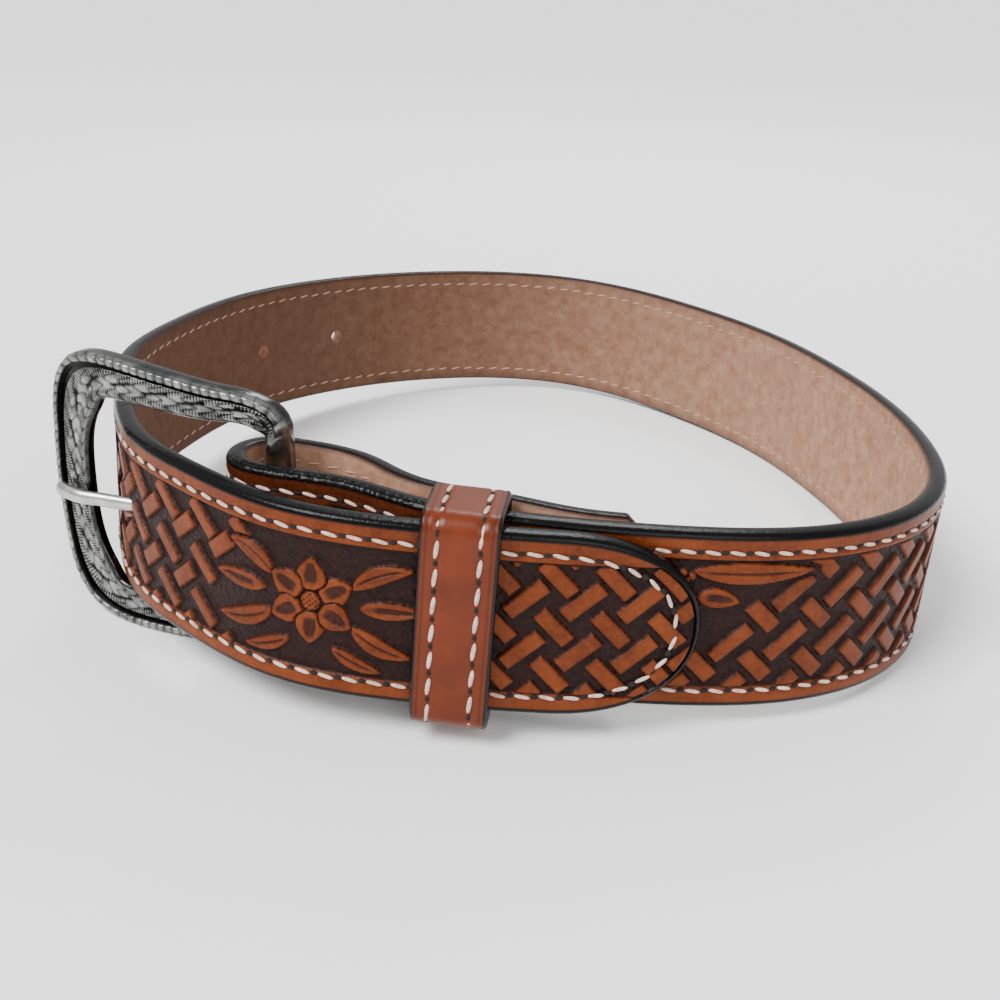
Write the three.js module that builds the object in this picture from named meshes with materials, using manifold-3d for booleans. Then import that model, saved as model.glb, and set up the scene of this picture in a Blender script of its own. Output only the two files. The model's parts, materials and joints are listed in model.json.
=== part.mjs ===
// A child's western tooled leather belt, buckled, standing on its lower edge.
// Millimetres, +Z up. The waist goes inside the loop. The buckle is at the front left, seen from -Y.
// The belt is first laid out flat about the middle of the waist, with the strap's lower edge at z = 0.
// Then it leans until it stands on the buckle's foot and on the strap's far side.
import * as THREE from "three";
import { mergeVertices } from "three/addons/utils/BufferGeometryUtils.js";
import Module from "manifold-3d";

const wasm = await Module();
wasm.setup();

// Clearances
const FIT = 0.3; // between pieces that touch
const PASS = 0.5; // round a piece that passes through leather
const EYE_PLAY = 0.75; // round the heel bar in the tongue's eye
const OVERSHOOT = 1; // how far a cutter passes the face that it opens

// Strap
const STRAP_WIDTH = 31.75;
const STRAP_THICKNESS = 3.6;
const FACE_BEVEL = 1.1; // the black painted round along each edge of the tooled face
const BACK_BEVEL = 0.7;
const BORDER_WIDTH = 4.3; // plain leather between the edge and the tooled field
const FIELD_DEPTH = 0.45; // how far the tooled field is pressed in
const FIELD_WALL = 0.5;
const TIP_LENGTH = 24; // the rounded free end
const TIP_POWER = 2.2; // 2 is an ellipse, more is blunter
const STATION_STEP = 4.6;

// The strap's run from the fold to the tip: its middle's distance from the middle of the waist, as a share
// of WAIST_RADIUS, at each bearing counted from +X. The last rows lie over the first, as the tip end does.
const WAIST_RADIUS = 85;
const RUN = [
  { bearing: 236, reach: 1.034 },
  { bearing: 242, reach: 1.019 },
  { bearing: 248, reach: 0.989 },
  { bearing: 254, reach: 0.991 },
  { bearing: 260, reach: 1.018 },
  { bearing: 268, reach: 1.031 },
  { bearing: 277, reach: 1.05 },
  { bearing: 287, reach: 1.086 },
  { bearing: 298, reach: 1.1355 },
  { bearing: 310, reach: 1.161 },
  { bearing: 322, reach: 1.13 },
  { bearing: 336, reach: 1.04 },
  { bearing: 352, reach: 0.9525 },
  { bearing: 372, reach: 0.895 },
  { bearing: 395, reach: 0.9075 },
  { bearing: 418, reach: 0.9775 },
  { bearing: 441, reach: 1.085 },
  { bearing: 464, reach: 1.05 },
  { bearing: 487, reach: 0.9875 },
  { bearing: 510, reach: 0.955 },
  { bearing: 533, reach: 0.947 },
  { bearing: 553, reach: 0.99 },
  { bearing: 566, reach: 1.011 },
  { bearing: 576, reach: 1.05 },
  { bearing: 586, reach: 1.0925 },
  { bearing: 596, reach: 1.1125 },
  { bearing: 608, reach: 1.14 },
  { bearing: 622, reach: 1.1175 },
  { bearing: 636, reach: 1.11 },
  { bearing: 649, reach: 1.13 },
];

// Fold round the heel bar, and the tab turned back inside the loop
const FOLD_BEARING = 240.4; // where the strap leaves the fold
const FOLD_RADIUS = 7; // middle of the leather
const FOLD_STEPS = 14;
const TAB_LENGTH = 65.8;
const TAB_END_CHAMFER = 1.8;
const TAB_CONTACT = 0.35; // gap between tab and strap at the tab's end
// The gap between tab and strap, as a share of the fold's inner width, along TAB_LENGTH from the fold
const TAB_GAP = [
  { along: 0, gap: 1 },
  { along: 0.1, gap: 1 },
  { along: 0.21, gap: 0.79 },
  { along: 0.3, gap: 0.47 },
  { along: 0.41, gap: 0.37 },
  { along: 0.62, gap: 0.388 },
  { along: 0.76, gap: 0.19 },
  { along: 0.86, gap: 0.05 },
  { along: 1, gap: 0 },
];

// Holes punched for the tongue: the one in use, and the ones that show beyond the buckle
const HOLE_DIAMETER = 3.4;
const HOLES_FROM_TIP = [222.4, 249]; // the ones that show, along the strap from its tip
const ROUND_SIDES = 16;

// Buckle frame: rows run round the upper half, from the middle of the heel bar to the middle of the far bar.
// out is the distance from the heel bar and up the height above the middle, as shares of FRAME_LENGTH and of
// FRAME_HEIGHT / 2. width is the bar's width as a share of FAR_BAR_WIDTH.
const FRAME_LENGTH = 51.6;
const FRAME_HEIGHT = 53.8;
const FRAME_THICKNESS = 4.2;
const FRAME_RISE = 2.2; // the frame's middle above the strap's
const FRAME_LEAN = 4; // how far its top leans to the front, in degrees
const FRAME_BOW = 4; // how far the frame's middle stands out in front of its ends, bowed as the waist is
const FRAME_BEARING = 157.4; // which way the frame points from the heel bar, in plan
const FAR_BAR_WIDTH = 9.8;
const HEEL_BAR_DIAMETER = 4.4;
const HEEL_SLACK = 1.6; // how far the tongue's eye stays from the fold's inside
const RAIL_WIDTH = 1.5; // the rope edge
const RAIL_HEIGHT = 0.5;
const FRAME_STATIONS = 64;
const FRAME_ROWS = [
  { out: 0.045, up: 0.0, width: 0.45 },
  { out: 0.045, up: 0.3, width: 0.45 },
  { out: 0.046, up: 0.55, width: 0.46 },
  { out: 0.073, up: 0.735, width: 0.57 },
  { out: 0.155, up: 0.804, width: 0.6 },
  { out: 0.27, up: 0.81, width: 0.66 },
  { out: 0.388, up: 0.822, width: 0.73 },
  { out: 0.504, up: 0.836, width: 0.77 },
  { out: 0.62, up: 0.843, width: 0.82 },
  { out: 0.73, up: 0.824, width: 0.91 },
  { out: 0.807, up: 0.735, width: 1.15 },
  { out: 0.863, up: 0.565, width: 1.13 },
  { out: 0.893, up: 0.32, width: 1.0 },
  { out: 0.9035, up: 0.0, width: 1.0 },
];

// Tongue
const TONGUE_WIDTH = 2.7;
const TONGUE_THICKNESS = 2.2;
const TONGUE_OVERHANG = 2; // how far the tip stops short of the far bar's outer edge
const TONGUE_RISE = 0.3; // its shank's height above the strap's middle
const TONGUE_BEND = 2.4; // how far before the far bar the shank bends up over it
const TONGUE_SAG = 0.6; // how far the shank dips behind the frame's middle, past the strap
const TONGUE_SAG_AT = 9; // how far from the eye it dips
const TONGUE_EYE_WALL = 1.76;
const TONGUE_SLOT_MARGIN = 0.8;

// Keeper: a closed leather band round the tip end and the strap. Its back lies between strap and tab.
const KEEPER_BEARING = 625.6; // where it sits on the tip end
const KEEPER_TURN = -4; // its own turn in plan from the tip end's, in degrees
const KEEPER_WIDTH = 12.6;
const KEEPER_THICKNESS = 2;
const KEEPER_SLACK = 0.9; // above and below the strap
const KEEPER_CORNER = 3.4;
const CORNER_SEGMENTS = 5;

// Rivets through strap and tab, hidden behind the tip end
const RIVET_BEARING = 279.5;
const RIVET_SPACING = 15;
const RIVET_POST_DIAMETER = 3;
const RIVET_CAP_DIAMETER = 7;
const RIVET_CAP_THICKNESS = 1.1;

// How the belt stands: on the buckle's foot and on the strap's edge at this bearing
const REST_BEARING = 18;

const TAU = Math.PI * 2;
const SLOPE_STEP = 0.05; // how far to each side of a place its slope is taken
const LINE_STEP = 0.4; // between points of the strap's middle line
const radians = THREE.MathUtils.degToRad;
const Z_AXIS = new THREE.Vector3(0, 0, 1);
const ORIGIN = new THREE.Vector2();

const LEATHER = new THREE.MeshStandardMaterial({ color: 0xa8592f, roughness: 0.5 });
const KEEPER_LEATHER = new THREE.MeshStandardMaterial({ color: 0x9c4a22, roughness: 0.35 });
const ANTIQUED_SILVER = new THREE.MeshStandardMaterial({ color: 0x8f9191, roughness: 0.35, metalness: 1 });
const NICKEL = new THREE.MeshStandardMaterial({ color: 0xc9c6bd, roughness: 0.2, metalness: 1 });

// A natural cubic spline through the values at the knots, as a function of the knots' own measure.
function splineThrough(knots, values) {
  const last = knots.length - 1;
  const bend = new Array(knots.length).fill(0);
  const carry = new Array(knots.length).fill(0);
  for (let i = 1; i < last; i += 1) {
    const before = knots[i] - knots[i - 1];
    const after = knots[i + 1] - knots[i];
    const slopes = (values[i + 1] - values[i]) / after - (values[i] - values[i - 1]) / before;
    const pivot = 2 * (before + after) - before * carry[i - 1];
    carry[i] = after / pivot;
    bend[i] = (6 * slopes - before * bend[i - 1]) / pivot;
  }
  for (let i = last - 1; i > 0; i -= 1) bend[i] -= carry[i] * bend[i + 1];
  return (at) => {
    let i = 0;
    while (i < last - 1 && at > knots[i + 1]) i += 1;
    const step = knots[i + 1] - knots[i];
    const a = (knots[i + 1] - at) / step;
    const b = 1 - a;
    const curve = (a ** 3 - a) * bend[i] + (b ** 3 - b) * bend[i + 1];
    return a * values[i] + b * values[i + 1] + (curve * step * step) / 6;
  };
}

// The strap's run in plan
const runReach = splineThrough(
  RUN.map((row) => row.bearing),
  RUN.map((row) => row.reach * WAIST_RADIUS),
);
const RUN_END = RUN[RUN.length - 1].bearing;

function runPoint(bearing) {
  const turn = radians(bearing);
  return new THREE.Vector2(Math.cos(turn), Math.sin(turn)).multiplyScalar(runReach(bearing));
}

function runTangent(bearing) {
  return runPoint(bearing + SLOPE_STEP).sub(runPoint(bearing - SLOPE_STEP)).normalize();
}

// The side of the strap that faces the waist is on the left of the direction of travel.
const leftOf = (direction) => new THREE.Vector2(-direction.y, direction.x);

const foldInnerRadius = FOLD_RADIUS - STRAP_THICKNESS / 2;
const tabGapShare = splineThrough(
  TAB_GAP.map((row) => row.along),
  TAB_GAP.map((row) => row.gap),
);

// The middle of the tab lies beside the strap, with the gap of TAB_GAP between their faces.
function tabPoint(bearing, endBearing) {
  const share = tabGapShare((bearing - FOLD_BEARING) / (endBearing - FOLD_BEARING));
  const gap = TAB_CONTACT + (2 * foldInnerRadius - TAB_CONTACT) * share;
  return runPoint(bearing).addScaledVector(leftOf(runTangent(bearing)), STRAP_THICKNESS + gap);
}

// The bearing at which the tab, TAB_LENGTH long on the strap's own middle, ends
function bearingAfter(start, length) {
  const step = 0.1;
  let bearing = start;
  for (let done = 0; done < length; bearing += step) {
    done += runPoint(bearing + step).distanceTo(runPoint(bearing));
  }
  return bearing;
}

const tabEndBearing = bearingAfter(FOLD_BEARING, TAB_LENGTH);
const foldStart = runPoint(FOLD_BEARING);
const foldInward = leftOf(runTangent(FOLD_BEARING));
const foldCentre = foldStart.clone().addScaledVector(foldInward, FOLD_RADIUS);

// The whole middle line from the tab's end, round the fold, along the loop, to the tip
function middleLine() {
  const points = [];
  const fine = THREE.MathUtils.radToDeg(LINE_STEP / WAIST_RADIUS);
  for (let bearing = tabEndBearing; bearing > FOLD_BEARING; bearing -= fine) {
    points.push(tabPoint(bearing, tabEndBearing));
  }
  const foldTurn = Math.atan2(foldInward.y, foldInward.x);
  const arcPoints = Math.round((Math.PI * FOLD_RADIUS) / LINE_STEP);
  for (let i = 0; i < arcPoints; i += 1) {
    const turn = foldTurn + (Math.PI * i) / arcPoints;
    points.push(
      new THREE.Vector2(Math.cos(turn), Math.sin(turn)).multiplyScalar(FOLD_RADIUS).add(foldCentre),
    );
  }
  for (let bearing = FOLD_BEARING; bearing < RUN_END; bearing += fine) points.push(runPoint(bearing));
  points.push(runPoint(RUN_END));
  return points;
}

const line = middleLine();
const lengths = [0];
for (let i = 1; i < line.length; i += 1) lengths.push(lengths[i - 1] + line[i].distanceTo(line[i - 1]));
const strapLength = lengths[lengths.length - 1];

// Place and direction on the middle line at a length from the tab's end
function stationAt(length) {
  let i = 1;
  while (i < line.length - 1 && lengths[i] < length) i += 1;
  const share = (length - lengths[i - 1]) / (lengths[i] - lengths[i - 1]);
  const at = line[i - 1].clone().lerp(line[i], share);
  const back = line[Math.max(0, i - 2)];
  const ahead = line[Math.min(line.length - 1, i + 1)];
  const tangent = ahead.clone().sub(back).normalize();
  return { at, outward: leftOf(tangent).negate() };
}

// The length at which the middle line comes nearest to a point in plan, between two lengths
function lengthNearest(point, from, to) {
  let best = from;
  let least = Infinity;
  for (let length = from; length <= to; length += 0.1) {
    const distance = stationAt(length).at.distanceTo(point);
    if (distance < least) {
      least = distance;
      best = length;
    }
  }
  return best;
}

// Solids
function solidOf(geometry) {
  const bare = geometry.clone();
  bare.deleteAttribute("normal");
  bare.deleteAttribute("uv");
  const merged = mergeVertices(bare, 1e-4);
  const corners = merged.index.array;
  const build = (triVerts) =>
    new wasm.Manifold(
      new wasm.Mesh({
        numProp: 3,
        vertProperties: new Float32Array(merged.attributes.position.array),
        triVerts,
      }),
    );
  const solid = build(new Uint32Array(corners));
  // A skin wound the other way has its faces inside out, so its triangles are turned round.
  return solid.volume() > 0 ? solid : build(new Uint32Array(corners).reverse());
}

function pieceOf(name, solid, material) {
  const made = solid.getMesh();
  const geometry = new THREE.BufferGeometry();
  geometry.setAttribute("position", new THREE.BufferAttribute(made.vertProperties, 3));
  geometry.setIndex(new THREE.BufferAttribute(made.triVerts, 1));
  geometry.computeVertexNormals();
  const piece = new THREE.Mesh(geometry, material);
  piece.name = name;
  return piece;
}

// A skin through rings of equal count, each a list of Vector3. It is capped, or closed on its first ring.
function loft(rings, closed) {
  const count = rings[0].length;
  const positions = rings.flat().flatMap((p) => [p.x, p.y, p.z]);
  const index = [];
  const spans = closed ? rings.length : rings.length - 1;
  for (let r = 0; r < spans; r += 1) {
    const next = (r + 1) % rings.length;
    for (let k = 0; k < count; k += 1) {
      const a = r * count + k;
      const b = r * count + ((k + 1) % count);
      const c = next * count + k;
      const d = next * count + ((k + 1) % count);
      index.push(a, c, b, b, c, d);
    }
  }
  const cap = (ring, start, flip) => {
    const middle = ring.reduce((sum, p) => sum.add(p), new THREE.Vector3()).divideScalar(count);
    const centre = positions.length / 3;
    positions.push(middle.x, middle.y, middle.z);
    for (let k = 0; k < count; k += 1) {
      const a = start + k;
      const b = start + ((k + 1) % count);
      index.push(...(flip ? [centre, b, a] : [centre, a, b]));
    }
  };
  if (!closed) {
    cap(rings[0], 0, false);
    cap(rings[rings.length - 1], (rings.length - 1) * count, true);
  }
  const geometry = new THREE.BufferGeometry();
  geometry.setAttribute("position", new THREE.Float32BufferAttribute(positions, 3));
  geometry.setIndex(index);
  return geometry;
}

// Moves a geometry built about the Z axis so that its axis points along a direction in plan.
function alongPlan(geometry, direction, at, height) {
  const axis = new THREE.Vector3(direction.x, direction.y, 0).normalize();
  const turn = new THREE.Quaternion().setFromUnitVectors(Z_AXIS, axis);
  return geometry.applyQuaternion(turn).translate(at.x, at.y, height);
}

// A box standing in plan: length along a direction, thickness across it, height up
function planBox(at, direction, length, thickness, height, middleHeight) {
  return new THREE.BoxGeometry(length, thickness, height)
    .rotateZ(Math.atan2(direction.y, direction.x))
    .translate(at.x, at.y, middleHeight);
}

// Strap
function strapSection(halfHeight, fieldDepth) {
  const face = STRAP_THICKNESS / 2;
  const faceBevel = Math.min(FACE_BEVEL, halfHeight / 2);
  const backBevel = Math.min(BACK_BEVEL, halfHeight / 2);
  const border = Math.min(BORDER_WIDTH, halfHeight * 0.7);
  const floor = Math.min(border + FIELD_WALL, halfHeight * 0.8);
  const upper = [
    { out: face - fieldDepth, up: halfHeight - floor },
    { out: face, up: halfHeight - border },
    { out: face, up: halfHeight - faceBevel },
    { out: face - faceBevel, up: halfHeight },
    { out: backBevel - face, up: halfHeight },
    { out: -face, up: halfHeight - backBevel },
  ];
  const lower = upper.map((p) => ({ out: p.out, up: -p.up })).reverse();
  return [...upper, ...lower];
}

const foldEnd = lengths[line.findIndex((p) => p.equals(foldStart))];
const foldBegin = foldEnd - Math.PI * FOLD_RADIUS;
const FIELD_RAMP = 12; // length over which the tooled field begins, past the fold

function strapRing(length, halfHeight) {
  const { at, outward } = stationAt(length);
  const ramp = THREE.MathUtils.clamp((length - foldEnd) / FIELD_RAMP, 0, 1);
  return strapSection(halfHeight, FIELD_DEPTH * ramp).map(
    (p) =>
      new THREE.Vector3(
        at.x + outward.x * p.out,
        at.y + outward.y * p.out,
        STRAP_WIDTH / 2 + p.up,
      ),
  );
}

function strapStations() {
  const half = STRAP_WIDTH / 2;
  const stations = [
    { length: 0, half: half - TAB_END_CHAMFER },
    { length: TAB_END_CHAMFER, half },
  ];
  const evenly = (from, to, count) => {
    for (let i = 1; i <= count; i += 1) stations.push({ length: from + ((to - from) * i) / count, half });
  };
  const tipStart = strapLength - TIP_LENGTH;
  evenly(TAB_END_CHAMFER, foldBegin, Math.round((foldBegin - TAB_END_CHAMFER) / STATION_STEP));
  evenly(foldBegin, foldEnd, FOLD_STEPS);
  evenly(foldEnd, tipStart, Math.round((tipStart - foldEnd) / STATION_STEP));
  const tipSteps = 9;
  for (let i = 1; i < tipSteps; i += 1) {
    const along = Math.sin((Math.PI / 2) * (i / tipSteps));
    const share = (1 - along ** TIP_POWER) ** (1 / TIP_POWER);
    stations.push({ length: tipStart + TIP_LENGTH * along, half: half * share });
  }
  return stations;
}

// Buckle frame. Its own plan directions: along, from the heel bar to the far bar, and front, away from the waist.
const along = new THREE.Vector2(Math.cos(radians(FRAME_BEARING)), Math.sin(radians(FRAME_BEARING)));
const front = leftOf(along);
const tongueEye = HEEL_BAR_DIAMETER / 2 + EYE_PLAY;
const tongueRing = tongueEye + TONGUE_EYE_WALL;
const heelShift = foldInnerRadius - tongueRing - HEEL_SLACK;
const foldNose = leftOf(foldInward);
const heelCentre = foldCentre.clone().addScaledVector(foldNose, heelShift);
const frameMiddle = STRAP_WIDTH / 2 + FRAME_RISE;
const heelOut = FRAME_ROWS[0].out * FRAME_LENGTH;

// A place on the frame: out from its heel edge, up from its middle, and depth in front of its middle plane
function framePlace(out, up, depth) {
  const share = (out - heelOut) / (FRAME_LENGTH - heelOut);
  const bow = FRAME_BOW * (1 - (2 * share - 1) ** 2);
  const leaning = new THREE.Vector2(depth, up).rotateAround(ORIGIN, -radians(FRAME_LEAN));
  const plan = heelCentre.clone().addScaledVector(along, out - heelOut);
  plan.addScaledVector(front, leaning.x + bow);
  return new THREE.Vector3(plan.x, plan.y, frameMiddle + leaning.y);
}

function frameLine() {
  const upper = FRAME_ROWS.map((row) => ({
    out: row.out * FRAME_LENGTH,
    up: (row.up * FRAME_HEIGHT) / 2,
    width: row.width * FAR_BAR_WIDTH,
  }));
  const lower = upper.slice(1, -1).map((row) => ({ ...row, up: -row.up })).reverse();
  const round = [...upper, ...lower];
  const wrap = 3; // rows repeated at both ends, so that the spline closes smoothly
  const rows = [...round.slice(-wrap), ...round, ...round.slice(0, wrap + 1)];
  const knots = [0];
  for (let i = 1; i < rows.length; i += 1) {
    knots.push(knots[i - 1] + Math.hypot(rows[i].out - rows[i - 1].out, rows[i].up - rows[i - 1].up));
  }
  const [out, up, width] = ["out", "up", "width"].map((key) =>
    splineThrough(knots, rows.map((row) => row[key])),
  );
  const start = knots[wrap];
  const around = knots[wrap + round.length] - start;
  return Array.from({ length: FRAME_STATIONS }, (_, i) => {
    const at = start + (around * i) / FRAME_STATIONS;
    const [before, after] = [at - SLOPE_STEP, at + SLOPE_STEP];
    const tangent = new THREE.Vector2(out(after) - out(before), up(after) - up(before)).normalize();
    return { out: out(at), up: up(at), width: width(at), rim: leftOf(tangent) };
  });
}

// The bar's section, from its rim to its opening: across is out from the bar's middle, depth is to the front.
// The heel bar is round, and every other bar is domed with the rope rail along its rim.
function frameSection(width) {
  const half = width / 2;
  const deep = FRAME_THICKNESS / 2;
  const face = deep - RAIL_HEIGHT;
  const domed = [
    { across: half, depth: -deep * 0.5 },
    { across: half, depth: deep * 0.45 },
    { across: half - RAIL_WIDTH * 0.35, depth: deep },
    { across: half - RAIL_WIDTH, depth: deep },
    { across: half - RAIL_WIDTH * 1.25, depth: face * 0.85 },
    { across: half * 0.25, depth: face },
    { across: -half * 0.35, depth: face * 0.9 },
    { across: -half * 0.85, depth: deep * 0.5 },
    { across: -half, depth: deep * 0.35 },
    { across: -half * 0.85, depth: -deep * 0.6 },
    { across: -half * 0.5, depth: -deep },
    { across: half * 0.6, depth: -deep },
  ];
  const bar = HEEL_BAR_DIAMETER / 2;
  const share = THREE.MathUtils.smoothstep(width, HEEL_BAR_DIAMETER * 1.02, HEEL_BAR_DIAMETER * 1.3);
  return domed.map((p, k) => {
    const turn = (TAU * (k - 0.5)) / domed.length;
    return {
      across: THREE.MathUtils.lerp(bar * Math.cos(turn), p.across, share),
      depth: THREE.MathUtils.lerp(bar * Math.sin(turn), p.depth, share),
    };
  });
}

function frameSolid() {
  const rings = frameLine().map((bar) =>
    frameSection(bar.width).map((p) =>
      framePlace(bar.out + bar.rim.x * p.across, bar.up + bar.rim.y * p.across, p.depth),
    ),
  );
  return solidOf(loft(rings, true));
}

// Tongue: a loop round the heel bar and a shank that lies on the far bar's front
const farBarOut = FRAME_ROWS[FRAME_ROWS.length - 1].out * FRAME_LENGTH;
const farBarInner = farBarOut - FAR_BAR_WIDTH / 2;
const tongueRestDepth = FRAME_THICKNESS / 2 + FIT + TONGUE_THICKNESS / 2;
const tongueEyeMiddle = (tongueEye + tongueRing) / 2;
const tongueEnd = farBarOut + FAR_BAR_WIDTH / 2 - TONGUE_OVERHANG;
const TONGUE_ROWS = [
  { out: heelOut + tongueEyeMiddle, depth: 0, size: 1 },
  { out: heelOut + tongueEyeMiddle + TONGUE_SAG_AT, depth: -TONGUE_SAG, size: 1 },
  { out: farBarInner - TONGUE_BEND * 4.5, depth: -TONGUE_SAG * 0.7, size: 1 },
  { out: farBarInner - TONGUE_BEND, depth: tongueRestDepth * 0.55, size: 1 },
  { out: farBarInner + TONGUE_BEND * 0.4, depth: tongueRestDepth, size: 1.04 },
  { out: farBarOut + FAR_BAR_WIDTH * 0.2, depth: tongueRestDepth, size: 1.1 },
  { out: tongueEnd - TONGUE_BEND * 0.25, depth: tongueRestDepth, size: 0.85 },
  { out: tongueEnd, depth: tongueRestDepth, size: 0.4 },
];

// A place on the tongue, at the height of its shank
const tonguePlace = (out, depth) => framePlace(out, TONGUE_RISE - FRAME_RISE, depth);
const tonguePoints = TONGUE_ROWS.map((row) => tonguePlace(row.out, row.depth));

// The shank along TONGUE_ROWS, rounded. grow widens it all round, for the passage through the strap.
function shankSolid(grow) {
  const sides = 12;
  const rings = tonguePoints.map((point, i) => {
    const before = tonguePoints[Math.max(0, i - 1)];
    const after = tonguePoints[Math.min(tonguePoints.length - 1, i + 1)];
    const direction = new THREE.Vector2(after.x - before.x, after.y - before.y).normalize();
    const side = leftOf(direction);
    return Array.from({ length: sides }, (_, k) => {
      const turn = (TAU * k) / sides;
      const across = (Math.cos(turn) * TONGUE_THICKNESS * TONGUE_ROWS[i].size) / 2 + Math.cos(turn) * grow;
      const up = (Math.sin(turn) * TONGUE_WIDTH * TONGUE_ROWS[i].size) / 2 + Math.sin(turn) * grow;
      return new THREE.Vector3(point.x + side.x * across, point.y + side.y * across, point.z + up);
    });
  });
  return solidOf(loft(rings, false));
}

function tongueSolid() {
  const outline = new THREE.Shape().absarc(0, 0, tongueRing, 0, TAU, false);
  outline.holes.push(new THREE.Path().absarc(0, 0, tongueEye, 0, TAU, true));
  const centre = tonguePlace(heelOut, 0);
  const eye = new THREE.ExtrudeGeometry(outline, {
    depth: TONGUE_WIDTH,
    bevelEnabled: false,
    curveSegments: ROUND_SIDES,
  }).translate(centre.x, centre.y, centre.z - TONGUE_WIDTH / 2);
  const heelHole = new THREE.CylinderGeometry(tongueEye, tongueEye, STRAP_WIDTH, ROUND_SIDES)
    .rotateX(Math.PI / 2)
    .translate(centre.x, centre.y, centre.z);
  return solidOf(eye).add(shankSolid(0).subtract(solidOf(heelHole)));
}

// Where the tongue's middle crosses the tip end's middle line: the hole in use
const tipLayerStart = strapLength - TIP_LENGTH - WAIST_RADIUS * 2;
function crossingLength() {
  let best = tipLayerStart;
  let least = Infinity;
  const steps = 200;
  const route = new THREE.CurvePath();
  for (let i = 1; i < tonguePoints.length; i += 1) {
    route.add(new THREE.LineCurve3(tonguePoints[i - 1], tonguePoints[i]));
  }
  for (let i = 0; i <= steps; i += 1) {
    const onRoute = route.getPoint(i / steps);
    const point = new THREE.Vector2(onRoute.x, onRoute.y);
    const length = lengthNearest(point, tipLayerStart, strapLength - TIP_LENGTH);
    const distance = stationAt(length).at.distanceTo(point);
    if (distance < least) {
      least = distance;
      best = length;
    }
  }
  return best;
}

const usedHole = crossingLength();

function drill(diameter, reach, length) {
  const { at, outward } = stationAt(length);
  const cutter = new THREE.CylinderGeometry(diameter / 2, diameter / 2, reach, ROUND_SIDES).rotateX(
    Math.PI / 2,
  );
  return alongPlan(cutter, outward, at, STRAP_WIDTH / 2);
}

// Rivets. Their caps are pressed into the leather until they are flush with its faces.
const rivetOutside = runPoint(RIVET_BEARING);
const rivetInward = leftOf(runTangent(RIVET_BEARING));
const rivetInside = tabPoint(RIVET_BEARING, tabEndBearing);
const rivetGrip = rivetOutside.distanceTo(rivetInside) + STRAP_THICKNESS;
const rivetMiddle = rivetOutside.clone().add(rivetInside).multiplyScalar(0.5);
const rivetHeights = [-0.5, 0.5].map((side) => STRAP_WIDTH / 2 + side * RIVET_SPACING);

// The rivet about the Z axis. grow widens it all round and overshoot lengthens it, for the hole in the strap.
function rivetGeometry(grow, overshoot) {
  const top = rivetGrip / 2 + overshoot;
  const seat = rivetGrip / 2 - RIVET_CAP_THICKNESS - grow;
  const post = RIVET_POST_DIAMETER / 2 + grow;
  const cap = RIVET_CAP_DIAMETER / 2 + grow;
  const half = [
    [post, seat],
    [cap, seat],
    [cap, top],
    [0, top],
  ];
  const mirrored = half.map(([radius, height]) => [radius, -height]).reverse();
  const profile = [...mirrored, ...half].map(([radius, height]) => new THREE.Vector2(radius, height));
  return new THREE.LatheGeometry(profile, ROUND_SIDES).rotateX(Math.PI / 2);
}

function strapSolid() {
  const rings = strapStations().map((station) => strapRing(station.length, station.half));
  let strap = solidOf(loft(rings, false));
  const through = STRAP_THICKNESS * 2;
  for (const length of [usedHole, ...HOLES_FROM_TIP.map((fromTip) => strapLength - fromTip)]) {
    strap = strap.subtract(solidOf(drill(HOLE_DIAMETER, through, length)));
  }
  strap = strap.subtract(shankSolid(PASS));
  const slotHeight = TONGUE_WIDTH + 2 * TONGUE_SLOT_MARGIN;
  const slotDepth = FOLD_RADIUS + STRAP_THICKNESS;
  const slotMiddle = foldCentre.clone().addScaledVector(foldNose, slotDepth / 2);
  const slotWidth = 2 * foldInnerRadius + STRAP_THICKNESS;
  const slot = planBox(slotMiddle, foldNose, slotDepth, slotWidth, slotHeight, STRAP_WIDTH / 2);
  strap = strap.subtract(solidOf(slot));
  for (const height of rivetHeights) {
    const cutter = alongPlan(rivetGeometry(FIT, OVERSHOOT), rivetInward, rivetMiddle, height);
    strap = strap.subtract(solidOf(cutter));
  }
  return strap;
}

// Keeper
function keeperSolid() {
  const seat = runPoint(KEEPER_BEARING);
  const turn = Math.atan2(runTangent(KEEPER_BEARING).y, runTangent(KEEPER_BEARING).x);
  const facing = turn + radians(KEEPER_TURN);
  const axis = new THREE.Vector2(Math.cos(facing), Math.sin(facing));
  const inward = leftOf(axis);
  const half = KEEPER_WIDTH / 2;
  // Depths of the tip end's and the strap's faces inside the band's width. The tab stays behind the band.
  const depths = lengths
    .filter((length) => length > foldEnd)
    .map(stationAt)
    .flatMap(({ at, outward }) =>
      [-0.5, 0.5].map((side) => at.clone().addScaledVector(outward, side * STRAP_THICKNESS).sub(seat)),
    )
    .filter((from) => Math.abs(from.dot(axis)) < half && from.length() < WAIST_RADIUS / 2)
    .map((from) => from.dot(inward));
  const inner = { low: Math.min(...depths) - FIT, high: Math.max(...depths) + FIT };
  const outer = { low: inner.low - KEEPER_THICKNESS, high: inner.high + KEEPER_THICKNESS };
  const rise = STRAP_WIDTH / 2 + KEEPER_SLACK;
  const outline = roundedRectangle(outer.low, outer.high, rise + KEEPER_THICKNESS, KEEPER_CORNER);
  outline.holes.push(roundedRectangle(inner.low, inner.high, rise, KEEPER_CORNER - KEEPER_THICKNESS));
  const band = new THREE.ExtrudeGeometry(outline, {
    depth: KEEPER_WIDTH,
    bevelEnabled: false,
    curveSegments: CORNER_SEGMENTS,
  }).translate(0, 0, -half);
  const toPlan = new THREE.Matrix4().makeBasis(
    new THREE.Vector3(inward.x, inward.y, 0),
    Z_AXIS,
    new THREE.Vector3(inward.y, -inward.x, 0),
  );
  return solidOf(band.applyMatrix4(toPlan).translate(seat.x, seat.y, STRAP_WIDTH / 2));
}

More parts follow.
